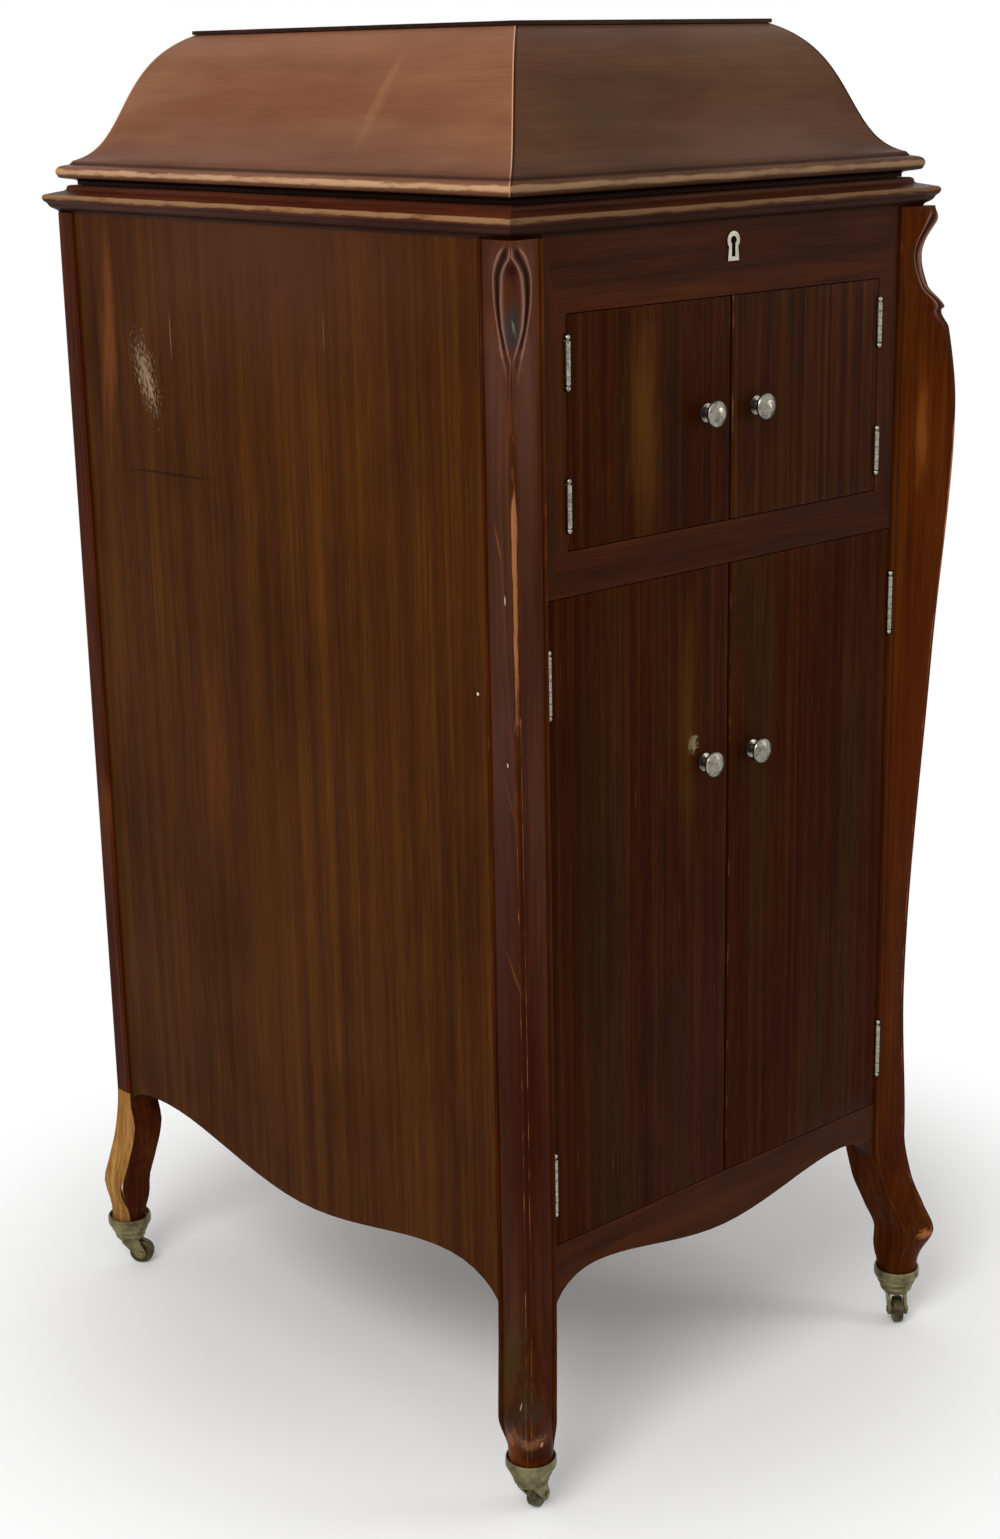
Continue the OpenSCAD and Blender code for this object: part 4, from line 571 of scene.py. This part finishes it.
dress(["side_panel_left"], [woods["side"]])
dress(["side_panel_right"], [woods["sideRight"]])
dress(["back_panel", "horn_boards", "record_rack"], [woods["insideUp"]])
dress(["bottom_board", "horn_shelf", "motor_board"], [woods["inside"]])
dress(["front_frame"], [woods["frame"], woods["stile"]], frameWood)
dress(["front_apron"], [woods["frame"]])
dress(["upper_door_left", "lower_door_left", "lower_door_right"], [woods["doors"]])
dress(["upper_door_right"], [woods["doorGrey"]])
dress(["rear_posts"], [woods["rearPosts"], woods["bare"]], bareLeg)
dress(["lid_top_board"], [woods["lidTop"], woods["edge"]], lidBoardEdge)
dress(["crank_grip"], [woods["grip"]])
dress(["horn_throat"], [metals["iron"]])
dress(["turntable_felt"], [metals["felt"]])
dress(["caster_cups"] + [n for n in nodes if n.startswith("caster_horn")], [metals["casterIron"]])
dress([n for n in nodes if n.startswith("caster_wheel")], [metals["casterWheel"]])
dress([n for n in nodes if "knob" in n], [metals["knobNickel"]])
dress([n for n in nodes if "hinge" in n and n != "lid_hinge_leaves"], [metals["wornNickel"]])
dress(["escutcheon", "crank", "crank_escutcheon", "tone_arm", "tone_arm_bracket", "gooseneck",
       "sound_box", "turntable", "needle_cups"], [metals["nickel"]])
dress(["lid_hinge_leaves", "lid_stay", "stay_rail", "spring_barrel", "intermediate_gear",
       "governor", "brake_lever"], [metals["brass"]])
dress(["motor_frame", "winding_arbor", "spindle"], [metals["steel"]])
print("carried-over pieces dressed")


def smoothPiece(piece, sharpAngle):
    work = bmesh.new()
    work.from_mesh(piece.data)
    bmesh.ops.recalc_face_normals(work, faces=work.faces)
    for face in work.faces:
        face.smooth = True
    for edge in work.edges:
        if len(edge.link_faces) == 2:
            edge.smooth = edge.calc_face_angle(0) < sharpAngle
    work.to_mesh(piece.data)
    work.free()


def paint(piece, name, values):
    attribute = piece.data.attributes.new(name, "FLOAT", "POINT")
    attribute.data.foreach_set("value", values)


# Doors whose top and bottom front edges are rubbed round as the upright ones are, made from the
# carried-over doors: painted shade darkens the gaps, and the edges beside them are rubbed a little pale.
doorEdge = {"radius": 1.6, "segments": 3, "depth": 5, "rubbed": 0.3, "rubbedBack": 0.6,
            "darkening": 0.95, "gapShadeFront": 0.3, "gapShadeFade": 1.2, "sharpAngle": 0.5}


def roundedDoor(name):
    piece = linked("rounded_" + name, nodes[name].data.copy())
    low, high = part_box(name)
    front = place(0, -case["halfD"], 0).y
    near = 0.02 * mm
    work = bmesh.new()
    work.from_mesh(piece.data)
    bmesh.ops.remove_doubles(work, verts=work.verts, dist=0.002 * mm)
    border = []
    for edge in work.edges:
        ends = [v.co for v in edge.verts]
        level = any(all(abs(p.z - side.z) < near for p in ends) for side in (low, high))
        if level and all(p.y < front + doorEdge["depth"] * mm for p in ends):
            if any(abs(face.normal.z) < 0.5 for face in edge.link_faces):
                border.append(edge)
    bmesh.ops.bevel(work, geom=border, offset=doorEdge["radius"] * mm, profile=0.5,
                    segments=doorEdge["segments"], affect="EDGES", clamp_overlap=True)
    work.to_mesh(piece.data)
    work.free()
    depths = [(v.co.y - front) / mm for v in piece.data.vertices]
    deep = [(d - doorEdge["gapShadeFront"]) / doorEdge["gapShadeFade"] for d in depths]
    paint(piece, "hollow", [doorEdge["darkening"] * min(1, max(0, d)) for d in deep])
    paint(piece, "wear", [doorEdge["rubbed"] if 0.02 < d < doorEdge["rubbedBack"] else 0
                          for d in depths])
    smoothPiece(piece, doorEdge["sharpAngle"])
    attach(piece, name)
    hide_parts(name)


for name in ("upper_door_left", "upper_door_right", "lower_door_left", "lower_door_right"):
    roundedDoor(name)
print("doors rounded")


def alongLine(stations, z):
    # Smooth line through [z, value] stations that never overshoots them.
    if z <= stations[0][0]:
        return stations[0][1]
    if z >= stations[-1][0]:
        return stations[-1][1]
    i = max(k for k in range(len(stations) - 1) if stations[k][0] <= z)

    def rate(k):
        return (stations[k + 1][1] - stations[k][1]) / (stations[k + 1][0] - stations[k][0])

    def slope(k):
        if k in (0, len(stations) - 1) or rate(k - 1) * rate(k) <= 0:
            return 0
        return 2 * rate(k - 1) * rate(k) / (rate(k - 1) + rate(k))

    h = stations[i + 1][0] - stations[i][0]
    t = (z - stations[i][0]) / h
    return (stations[i][1] * (1 + 2 * t) * (1 - t) ** 2 + slope(i) * h * t * (1 - t) ** 2
            + stations[i + 1][1] * t * t * (3 - 2 * t) + slope(i + 1) * h * t * t * (t - 1))


# Carved front posts. Offsets are in mm from the case's corner, outwards along both faces;
# u runs across the arris and v straight out along the corner's diagonal.
post = {
    "width": 28, "side": 33, "bead": 3, "kick": 20, "sharpAngle": 0.9,
    "arris": [[180, 6.4], [310, 3.3], [610.8, 13.4], [815.8, 22.4], [880.8, 17.2], [894.8, 12.4],
              [898.8, 13.8], [914.8, 6.2], [938.8, 3.2], [968.8, 8.8], [976.8, 7.4]],
    "foot": [[45, 0.7], [85, 1], [110, 0.66], [140, 0.24], [180, 0]],
    "cupTop": 50, "footTop": 85, "footAt": 4, "footR": 17.6,
    "outer": [[865, 2.6], [881, 3.2], [893, 5.1], [905, 7.6], [920, 10.3], [936, 12.5], [950, 13],
              [965, 10], [971, 6.5], [976.8, 2.6]],
    "inner": [[895, 0.35], [899, 1.2], [903, 2.6], [909, 4.5], [920, 7.2], [936, 8], [952, 6.9],
              [960, 4.3], [964, 1.8], [966.5, 0.35]],
    "groove": [[800, 0], [880, 0.35], [897, 0.9], [912, 1.7], [930, 2.5], [955, 2.5], [968, 1.4],
               [975, 0]],
    "bowl": [[896, 0], [902, 0.9], [915, 2.4], [935, 3.6], [952, 3.4], [962, 1.2], [966, 0]],
    "notch": [[790, 0], [840, 0.5], [878, 0.9], [890, 2.6], [893.5, 3.2], [895.5, 0.4], [897, 0]],
    "lip": [[895, 0], [897.5, 1.1], [901, 0.3], [905, 0]],
    "rubbed": [[120, 0.1], [600, 0.1], [665, 0.55], [700, 0.8], [798, 0.9], [812, 0.25], [880, 0.3]],
    "hinges": [268, 661.5], "hingeReach": 26.8, "hingeAt": (-28.4, 1.0), "hingeR": 2.7,
    # The feet are scuffed pale round their widest place, and the knee is painted a little paler over a
    # broad band: each row is a height, how far it reaches and how much.
    "scuffs": [(80, 14, 0.1), (790, 60, 0.08)],
    # Sections from a height, in steps, so many: close together where it is carved or bent.
    "levels": [(45, 2, 69), (184, 6, 112), (858, 0.8, 148)],
}
# The carving near the top, the rubbed arris below it and the pale line beside the arris: heights,
# depths and places in mm, and the rims' widths as shares of their band. The grooves and the bowl are
# painted with shade, and the rims high up with a painted sheen.
carving = {"from": 880, "spoonFrom": 905, "fullAt": 1.2, "innerMost": 0.75, "rimWear": 0.5,
           "bowlPower": 0.8, "bowlRim": 0.6, "bowlRimWide": 0.2, "bowlWearWide": 0.15, "bowlShade": 0.35,
           "groovePower": 1.1, "grooveRim": 0.55, "grooveRimWide": 0.14, "grooveShade": 0.9,
           "shadeBelow": 0.5, "dome": 0.82, "domePower": 1.3, "fall": 0.5, "arrisWide": 1.9,
           "lineTo": 650, "line": 0.42, "lineAt": 2.1, "lineWide": 0.4,
           "polish": 1.6, "polishMost": 0.9, "polishFade": 22, "polishedWear": 0.3}


def ridge(away, width):
    # 1 on a line, fading out on both sides of it.
    return math.exp(-(away / width) ** 2)


def corner(u, v):
    return Vector(((v - u) / math.sqrt(2), (v + u) / math.sqrt(2)))


def beadRow(start, end, out, count, steps):
    # Small round beads in a row from start to end, standing out along out, with painted shade at their
    # feet.
    points = []
    for i in range(count * steps + 1):
        t = i / (count * steps)
        lift = math.sqrt(max(0, 1 - (2 * (t * count % 1) - 1) ** 2)) if i % steps else 0.25
        points.append((start + (end - start) * t + out * lift, 0.2 * lift, 0.5 * (1 - lift), 0))
    return points


def archedRow(start, end, bulge, steps):
    side = Vector((-(end - start).y, (end - start).x)).normalized()
    points = []
    for i in range(1, steps):
        t = i / steps
        points.append((start + (end - start) * t + side * bulge * 4 * t * (1 - t), 0.08, 0, 0))
    return points


def carvedBand(z):
    # From the front rim over the arris to the side rim: groove, inner rim, bowl and back; groove and bowl
    # get painted shade.
    cut = carving
    outer = alongLine(post["outer"], z)
    inner = min(alongLine(post["inner"], z), outer * cut["innerMost"])
    peak = math.sqrt(2) * alongLine(post["arris"], z)
    groove = alongLine(post["groove"], z)
    bowl = alongLine(post["bowl"], z)
    centre = alongLine(post["lip"], z) - alongLine(post["notch"], z)
    carved = min(1, groove / cut["fullAt"])
    points = []
    for i in range(-20, 21):
        s = abs(i) / 10
        polish = 0
        if s <= 1:
            across = inner * s
            rim = ridge(1 - s, cut["bowlRimWide"])
            depth = bowl * (1 - s * s) ** cut["bowlPower"] - cut["bowlRim"] * carved * rim
            depth -= centre * (1 - s * s)
            wear = cut["rimWear"] * carved * ridge(1 - s, cut["bowlWearWide"])
            hollow = cut["bowlShade"] * min(1, bowl / 2) * (1 - s * s)
        else:
            s -= 1
            across = inner + (outer - inner) * s
            swell = math.sin(math.pi * s)
            rim = ridge(s, cut["grooveRimWide"]) + ridge(1 - s, cut["grooveRimWide"])
            depth = groove * swell ** cut["groovePower"] - cut["grooveRim"] * carved * rim
            wear = cut["rimWear"] * carved * rim
            hollow = cut["grooveShade"] * carved * swell ** 2
            if z <= cut["spoonFrom"]:
                hollow *= cut["shadeBelow"]
        t = across / outer
        base = peak - cut["dome"] * outer * t ** cut["domePower"] - cut["fall"] * t
        u = -across if i > 0 else across
        if z < cut["from"]:
            wear = alongLine(post["rubbed"], z) * ridge(across, cut["arrisWide"])
            if z < cut["lineTo"]:
                wear += cut["line"] * ridge(across - cut["lineAt"], cut["lineWide"])
        else:
            # High up the rims are painted with polish, which lowers roughness and lays a painted sheen.
            fade = min(1, (z - cut["from"]) / cut["polishFade"])
            polish = min(cut["polishMost"], cut["polish"] * wear) * fade
            wear *= cut["polishedWear"]
        points.append((corner(u, base - depth), wear, hollow, polish))
    return points


def roundEnd(p, z):
    # The foot is drawn in to a circle where it stands in its caster cup.
    if z >= post["footTop"]:
        return p
    share = alongLine([[post["cupTop"], 1], [post["footTop"], 0]], z)
    middle = Vector((post["footAt"], post["footAt"]))
    away = p - middle
    return p * (1 - share) + (middle + away.normalized() * post["footR"]) * share


def postSection(z):
    width, side, bead = post["width"], post["side"], post["bead"]
    band = carvedBand(z)
    front = beadRow(Vector((-width, 0.8)), Vector((4 - width, 1)), Vector((0, bead - 1)), 1, 8)
    flank = beadRow(Vector((1, 4 - side)), Vector((0.8, -side)), Vector((bead - 1, 0)), 2, 6)
    points = [(Vector((-width, y)), 0, 0, 0) for y in (-side, -6, -2)]
    points += front
    points += archedRow(front[-1][0], band[0][0], 0.8, 10)
    points += band
    points += archedRow(band[-1][0], flank[0][0], 0.8, 12)
    points += flank
    points.append((Vector((-2, -side)), 0, 0, 0))
    hingeAt = Vector(post["hingeAt"])
    # Where a hinge sits, the post is cut round it and the cut is painted with shade.
    if any(abs(z - h) < post["hingeReach"] for h in post["hinges"]):
        for i, point in enumerate(points):
            away = point[0] - hingeAt
            if away.length < post["hingeR"]:
                points[i] = (hingeAt + away.normalized() * post["hingeR"], 0, 0.8, 0)
    push = post["kick"] * alongLine(post["foot"], z)
    return [(roundEnd(p[0] + Vector((push, push)), z), *p[1:]) for p in points]


def postLevels():
    levels = [low + step * i for low, step, count in post["levels"] for i in range(count)]
    levels.append(case["top"])
    for h in post["hinges"]:
        for s in (-1, 1):
            levels += [h + s * (post["hingeReach"] - 0.05), h + s * (post["hingeReach"] + 0.05)]
    return sorted(z for z in set(levels) if z <= case["top"])


def frontPost(name, sign):
    verts, faces, wear, hollow, polish = [], [], [], [], []
    levels = postLevels()
    for z in levels:
        scuffed = sum(share * ridge(z - at, reach) for at, reach, share in post["scuffs"])
        for p, rub, deep, shine in postSection(z):
            verts.append(place(sign * (case["halfW"] + p.x), -case["halfD"] - p.y, z))
            wear.append(rub + scuffed)
            hollow.append(deep)
            polish.append(shine)
    count = len(verts) // len(levels)
    for i in range(len(levels) - 1):
        for j in range(count):
            k = (j + 1) % count
            faces.append((i * count + j, i * count + k, (i + 1) * count + k, (i + 1) * count + j))
    faces.append(tuple(range(count)))
    faces.append(tuple((len(levels) - 1) * count + j for j in range(count)))
    mesh = bpy.data.meshes.new(name)
    mesh.from_pydata(verts, [], faces)
    mesh.materials.append(woods["posts"])
    piece = linked(name, mesh)
    smoothPiece(piece, post["sharpAngle"])
    paint(piece, "wear", wear)
    paint(piece, "hollow", hollow)
    paint(piece, "polish", polish)
    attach(piece, "cabinet")
    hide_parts(name)
    piece.name = "carved_" + name


frontPost("front_post_left", -1)
frontPost("front_post_right", 1)
print("carved posts made")


# Cornice and lid: one profile mitred round the case by a node tree. Profile points are (inset from
# the nose, height, rubbed, painted shade), in mm and in shares of full paint; on the noses the rubbed
# share is also a painted highlight, and the painted shade darkens their undersides.
def throughPoints(points, steps):
    # Smooth line through the points of one rounded stretch.
    line = []
    last = len(points) - 1
    for i in range(last):
        a, b, c, d = (Vector(points[max(0, min(last, i + k))]) for k in (-1, 0, 1, 2))
        for k in range(steps):
            t = k / steps
            line.append(0.5 * (2 * b + (c - a) * t + (2 * a - 5 * b + 4 * c - d) * t * t
                               + (3 * b - a - 3 * c + d) * t ** 3))
    line.append(Vector(points[-1]))
    return line


def bezierLine(points, steps):
    p = [Vector(q) for q in points]
    return [p[0] * (1 - t) ** 3 + p[1] * 3 * t * (1 - t) ** 2 + p[2] * 3 * t * t * (1 - t)
            + p[3] * t ** 3 for t in (i / steps for i in range(steps + 1))]


def inwards(line, distance):
    moved = []
    for i, p in enumerate(line):
        run = line[min(i + 1, len(line) - 1)] - line[max(i - 1, 0)]
        flat = Vector((run.x, run.y)).normalized()
        moved.append(Vector((p.x + distance * flat.y, p.y - distance * flat.x, 0, 0)))
    return moved


def startTree(name, inputs, result):
    tree = bpy.data.node_groups.new(name, "GeometryNodeTree")
    for label, kind in inputs.items():
        tree.interface.new_socket(label, in_out="INPUT", socket_type="NodeSocket" + kind)
    tree.interface.new_socket(result, in_out="OUTPUT", socket_type="NodeSocketGeometry")
    return tree, addNode(tree, "NodeGroupInput").outputs


def mouldingTree():
    tree, start = startTree("mitredMoulding",
                            {"Profile": "Geometry", "Half Width": "Float", "Half Depth": "Float",
                             "Centre X": "Float", "Centre Y": "Float", "Front Wood": "Material",
                             "Side Wood": "Material"}, "Moulding")
    corners = 5  # the first one comes again at the end
    size = addNode(tree, "GeometryNodeAttributeDomainSize", None, {"Geometry": start["Profile"]})
    grid = addNode(tree, "GeometryNodeMeshGrid", None,
                   {"Vertices X": size.outputs["Point Count"], "Vertices Y": corners})
    index = addNode(tree, "GeometryNodeInputIndex")
    run = addNode(tree, "ShaderNodeMath", {"operation": "MODULO"}, {0: index, 1: corners})
    row = addNode(tree, "ShaderNodeMath", {"operation": "DIVIDE"}, {0: index, 1: corners})
    whole = addNode(tree, "FunctionNodeFloatToInt", {"rounding_mode": "FLOOR"}, {0: row})
    sampled = addNode(tree, "GeometryNodeSampleIndex", {"data_type": "FLOAT_VECTOR"},
                      {"Geometry": start["Profile"],
                       "Value": addNode(tree, "GeometryNodeInputPosition"),
                       "Index": whole})
    parts = addNode(tree, "ShaderNodeSeparateXYZ", None, {0: sampled}).outputs
    # Corners run front left, front right, back right, back left and front left again.
    spot = []
    for middle, half, centre in ((1.5, "Half Width", "Centre X"), (2.5, "Half Depth", "Centre Y")):
        far = addNode(tree, "ShaderNodeMath", {"operation": "COMPARE"}, {0: run, 1: middle, 2: 1.0})
        sign = addNode(tree, "ShaderNodeMath", {"operation": "MULTIPLY_ADD"},
                       {0: far, 1: 2.0, 2: -1.0})
        reach = addNode(tree, "ShaderNodeMath", {"operation": "SUBTRACT"},
                        {0: start[half], 1: parts["X"]})
        spot.append(addNode(tree, "ShaderNodeMath", {"operation": "MULTIPLY_ADD"},
                            {0: sign, 1: reach, 2: start[centre]}))
    spot = addNode(tree, "ShaderNodeCombineXYZ", None,
                   {0: spot[0], 1: spot[1], 2: parts["Z"]})
    geometry = addNode(tree, "GeometryNodeSetPosition", None,
                       {"Geometry": grid, "Position": spot})
    stored = {"run": run}
    for label in ("wear", "hollow"):
        named = addNode(tree, "GeometryNodeInputNamedAttribute", {"data_type": "FLOAT"},
                        {"Name": label}).outputs["Attribute"]
        stored[label] = addNode(tree, "GeometryNodeSampleIndex", {"data_type": "FLOAT"},
                                {"Geometry": start["Profile"], "Value": named,
                                 "Index": whole})
    for label, value in stored.items():
        geometry = addNode(tree, "GeometryNodeStoreNamedAttribute",
                           {"data_type": "FLOAT", "domain": "POINT"},
                           {"Geometry": geometry, "Name": label, "Value": value})
    # A face's run is the mean of its corners': 0.5 and 2.5 are front and back.
    side = addNode(tree, "GeometryNodeInputNamedAttribute", {"data_type": "FLOAT"},
                   {"Name": "run"}).outputs["Attribute"]
    turn = addNode(tree, "ShaderNodeMath", {"operation": "MODULO"}, {0: side, 1: 2.0})
    isSide = addNode(tree, "FunctionNodeCompare", {"data_type": "FLOAT", "operation": "GREATER_THAN"},
                     {0: turn, 1: 1.0})
    geometry = addNode(tree, "GeometryNodeRealizeInstances", None, {0: geometry})
    geometry = addNode(tree, "GeometryNodeSetMaterial", None,
                       {"Geometry": geometry, "Material": start["Front Wood"]})
    geometry = addNode(tree, "GeometryNodeSetMaterial", None,
                       {"Geometry": geometry, "Selection": isSide,
                        "Material": start["Side Wood"]})
    geometry = addNode(tree, "GeometryNodeMergeByDistance", None,
                       {"Geometry": geometry, "Distance": 0.01 * mm})
    addNode(tree, "NodeGroupOutput", None, {0: geometry})
    return tree


def runTree(name, tree, source, values):
    # Runs a node tree on a mesh and keeps the result as a plain mesh of its own.
    holder = linked(name, source)
    modifier = holder.modifiers.new("nodes", "NODES")
    modifier.node_group = tree
    for item in tree.interface.items_tree:
        if item.item_type == "SOCKET" and item.in_out == "INPUT" and item.name in values:
            modifier[item.identifier] = values[item.name]
    bpy.context.view_layer.update()
    evaluated = holder.evaluated_get(bpy.context.evaluated_depsgraph_get())
    mesh = bpy.data.meshes.new_from_object(evaluated)
    holder.modifiers.clear()
    holder.data = mesh
    mesh.name = name
    return holder


def moulding(name, line, frontWood, sideWood, body, replaced):
    # The line is closed by its first point again.
    line = line + [line[0]]
    source = bpy.data.meshes.new(name + "Profile")
    source.from_pydata([(p[0] * mm, 0, p[1] * mm) for p in line],
                       [(i, i + 1) for i in range(len(line) - 1)], [])
    for k, label in ((2, "wear"), (3, "hollow")):
        source.attributes.new(label, "FLOAT", "POINT").data.foreach_set("value", [p[k] for p in line])
    piece = runTree(name, moulds, source,
                    {"Half Width": noseX * mm, "Half Depth": noseY * mm, "Centre X": caseX * mm,
                     "Centre Y": caseY * mm, "Front Wood": frontWood, "Side Wood": sideWood})
    smoothPiece(piece, mouldSharp)
    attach(piece, body)
    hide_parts(replaced)


moulds = mouldingTree()
mouldSharp = 0.5  # edges bent further than this angle stay sharp
# Heights in the lists of points are from the foot of their moulding.
corniceShape = {"width": 30, "height": 22.1,
                "nose": [(9.8, 0, 0, 0.9), (8.6, 1.8, 0, 0.8), (6, 3.4, 0, 0.75), (4.2, 5, 0, 0.7),
                         (2.6, 7.8, 0, 0.6), (0.9, 9.4, 0.1, 0.4), (0, 11.4, 0.5, 0.1),
                         (0.1, 13.2, 0.7, 0), (1.3, 14.6, 0.65, 0), (3, 15.1, 0.2, 0)],
                "quirk": [(8, 16.3, 0.05, 0)],
                "step": [(13.6, 17.6, 0, 0.1), (15, 18.8, 0, 0.35), (15.4, 20.8, 0, 0.2),
                         (17.2, 22.1, 0, 0.4)]}
# The ogee's ends, handles and middle are shares of its reach and of its rise above the ledge.
lidShape = {"foot": 999.2, "ledgeIn": 20, "ledge": 1018.5, "top": 1117, "topIn": 97, "wall": 13,
            "plugIn": 108, "footIn": 35.6, "backStep": 9, "heel": [(22, 0, 0, 1)],
            "nose": [(22, 2.4, 0, 1), (20.6, 3.8, 0, 0.9), (12, 5.4, 0, 0.8), (10.2, 7.2, 0.1, 0.4),
                     (9.2, 9.8, 0.65, 0), (9.4, 12.3, 0.6, 0), (11, 14.4, 0.1, 0.1),
                     (13, 15.4, 0, 0.2), (17.6, 16.4, 0, 0.8), (18.4, 17.2, 0, 0.7)],
            "ogee": [(0, 0, 0.1, 0.2), (0.21, 0.056, 0, 0), (0.286, 0.198, 0, 0),
                     (0.416, 0.442, 0, 0), (0.545, 0.685, 0, 0), (0.675, 0.888, 0, 0), (1, 1, 0, 0)]}


def lifted(points, height):
    return [(inset, z + height, *paints) for inset, z, *paints in points]


def makeCornice():
    shape, low = corniceShape, case["top"]
    line = [(shape["width"], low, 0, 0.8)] + throughPoints(lifted(shape["nose"], low), 4)
    line += lifted(shape["quirk"], low) + throughPoints(lifted(shape["step"], low), 3)
    line.append((shape["width"], low + shape["height"], 0, 0.6))
    moulding("mitred_cornice", line, woods["mouldFront"], woods["mouldSide"], "cabinet", "cornice")


def makeLid():
    shape = lidShape
    foot, footIn, ledge, ledgeIn = shape["foot"], shape["footIn"], shape["ledge"], shape["ledgeIn"]
    top, plugIn = shape["top"], shape["plugIn"]
    ogee = [(ledgeIn + a * (shape["topIn"] - ledgeIn), ledge + b * (top - ledge), *paints)
            for a, b, *paints in shape["ogee"]]
    slope = bezierLine(ogee[:4], 24) + bezierLine(ogee[3:], 24)[1:]
    inner = [p for p in inwards(slope, shape["wall"]) if footIn + 1 < p.x < plugIn - 4]
    line = lifted(shape["heel"], foot) + throughPoints(lifted(shape["nose"], foot) + ogee[:1], 4)
    line += slope[1:]
    line += [(plugIn, top, 0, 0), (plugIn, top - shape["wall"], 0, 0)] + inner[::-1]
    line += [(footIn, ledge - shape["backStep"], 0, 0), (footIn, foot, 0, 0)]
    moulding("mitred_lid", line, woods["lidFront"], woods["lidSide"], "lid", "lid")


makeCornice()
makeLid()
print("cornice and lid made")


# Slotted screws of the motor board and of the back panel. Each row of spots is (place in mm,
# direction the head faces).
def screwTree():
    tree, start = startTree("slottedScrews",
                            {"Spots": "Geometry", "Head Radius": "Float", "Head Height": "Float",
                             "Slot Width": "Float", "Seed": "Int", "Metal": "Material"}, "Screws")
    head = addNode(tree, "GeometryNodeMeshCylinder", None,
                   {"Vertices": 20, "Radius": start["Head Radius"], "Depth": start["Head Height"]})
    slotSize = addNode(tree, "ShaderNodeCombineXYZ", None,
                       {0: start["Slot Width"], 1: 1.0, 2: start["Head Height"]})
    slot = addNode(tree, "GeometryNodeMeshCube", None, {"Size": slotSize})
    raised = addNode(tree, "ShaderNodeCombineXYZ", None, {2: start["Head Height"]})
    onHead = addNode(tree, "GeometryNodeTransform", None,
                     {"Geometry": slot, "Translation": raised})
    down = addNode(tree, "ShaderNodeVectorMath", {"operation": "SCALE"}, {0: raised, "Scale": -0.3})
    inHead = addNode(tree, "GeometryNodeTransform", None,
                     {"Geometry": onHead, "Translation": down})
    cut = addNode(tree, "GeometryNodeMeshBoolean", {"operation": "DIFFERENCE"},
                  {"Mesh 1": head, "Mesh 2": inHead})
    facing = addNode(tree, "GeometryNodeInputNamedAttribute", {"data_type": "FLOAT_VECTOR"},
                     {"Name": "facing"}).outputs["Attribute"]
    aimed = addNode(tree, "FunctionNodeAlignEulerToVector", {"axis": "Z"}, {"Vector": facing})
    spin = addNode(tree, "FunctionNodeRandomValue", {"data_type": "FLOAT"},
                   {"Max": math.pi, "Seed": start["Seed"]})
    spun = addNode(tree, "FunctionNodeRotateEuler", {"rotation_type": "AXIS_ANGLE", "space": "LOCAL"},
                   {"Rotation": aimed, "Axis": (0, 0, 1), "Angle": spin.outputs[1]})
    placed = addNode(tree, "GeometryNodeInstanceOnPoints", None,
                     {"Points": start["Spots"], "Instance": cut, "Rotation": spun})
    solid = addNode(tree, "GeometryNodeRealizeInstances", None, {0: placed})
    finished = addNode(tree, "GeometryNodeSetMaterial", None,
                       {"Geometry": solid, "Material": start["Metal"]})
    addNode(tree, "NodeGroupOutput", None, {0: finished})
    return tree


screws = screwTree()
screwShape = {"height": 1.2, "slotShare": 0.28, "seed": 7}


def screwRow(name, spots, radius, metal, body):
    source = bpy.data.meshes.new(name + "Spots")
    source.from_pydata([place(*at) for at, facing in spots], [], [])
    towards = source.attributes.new("facing", "FLOAT_VECTOR", "POINT")
    towards.data.foreach_set("vector", [c for at, facing in spots for c in facing])
    piece = runTree(name, screws, source,
                    {"Head Radius": radius * mm, "Head Height": screwShape["height"] * mm,
                     "Slot Width": screwShape["slotShare"] * radius * mm,
                     "Seed": screwShape["seed"], "Metal": metal})
    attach(piece, body)


# The board has five screws each side; the back has two upright rows and three more at top and bottom.
screwSpots = {"boardZ": 972.2, "board": [(188, -232), (188, 0), (188, 250), (70, -255), (70, 258)],
              "boardR": 4.2, "backY": 280.2, "backX": 176, "backZ": [232, 370, 520, 670, 820, 950],
              "backAcross": [-90, 0, 90], "backR": 4}
boardScrews = [((side * x, y, screwSpots["boardZ"]), (0, 0, 1)) for side in (-1, 1)
               for x, y in screwSpots["board"]]
screwRow("motor_board_screws", boardScrews, screwSpots["boardR"], metals["nickel"], "cabinet")
backPlaces = [(side * screwSpots["backX"], z) for side in (-1, 1) for z in screwSpots["backZ"]]
backPlaces += [(x, z) for x in screwSpots["backAcross"]
               for z in (screwSpots["backZ"][0], screwSpots["backZ"][-1])]
backScrews = [((x, screwSpots["backY"], z), (0, 1, 0)) for x, z in backPlaces]
screwRow("back_panel_screws", backScrews, screwSpots["backR"], metals["brass"], "cabinet")
print("screws placed")
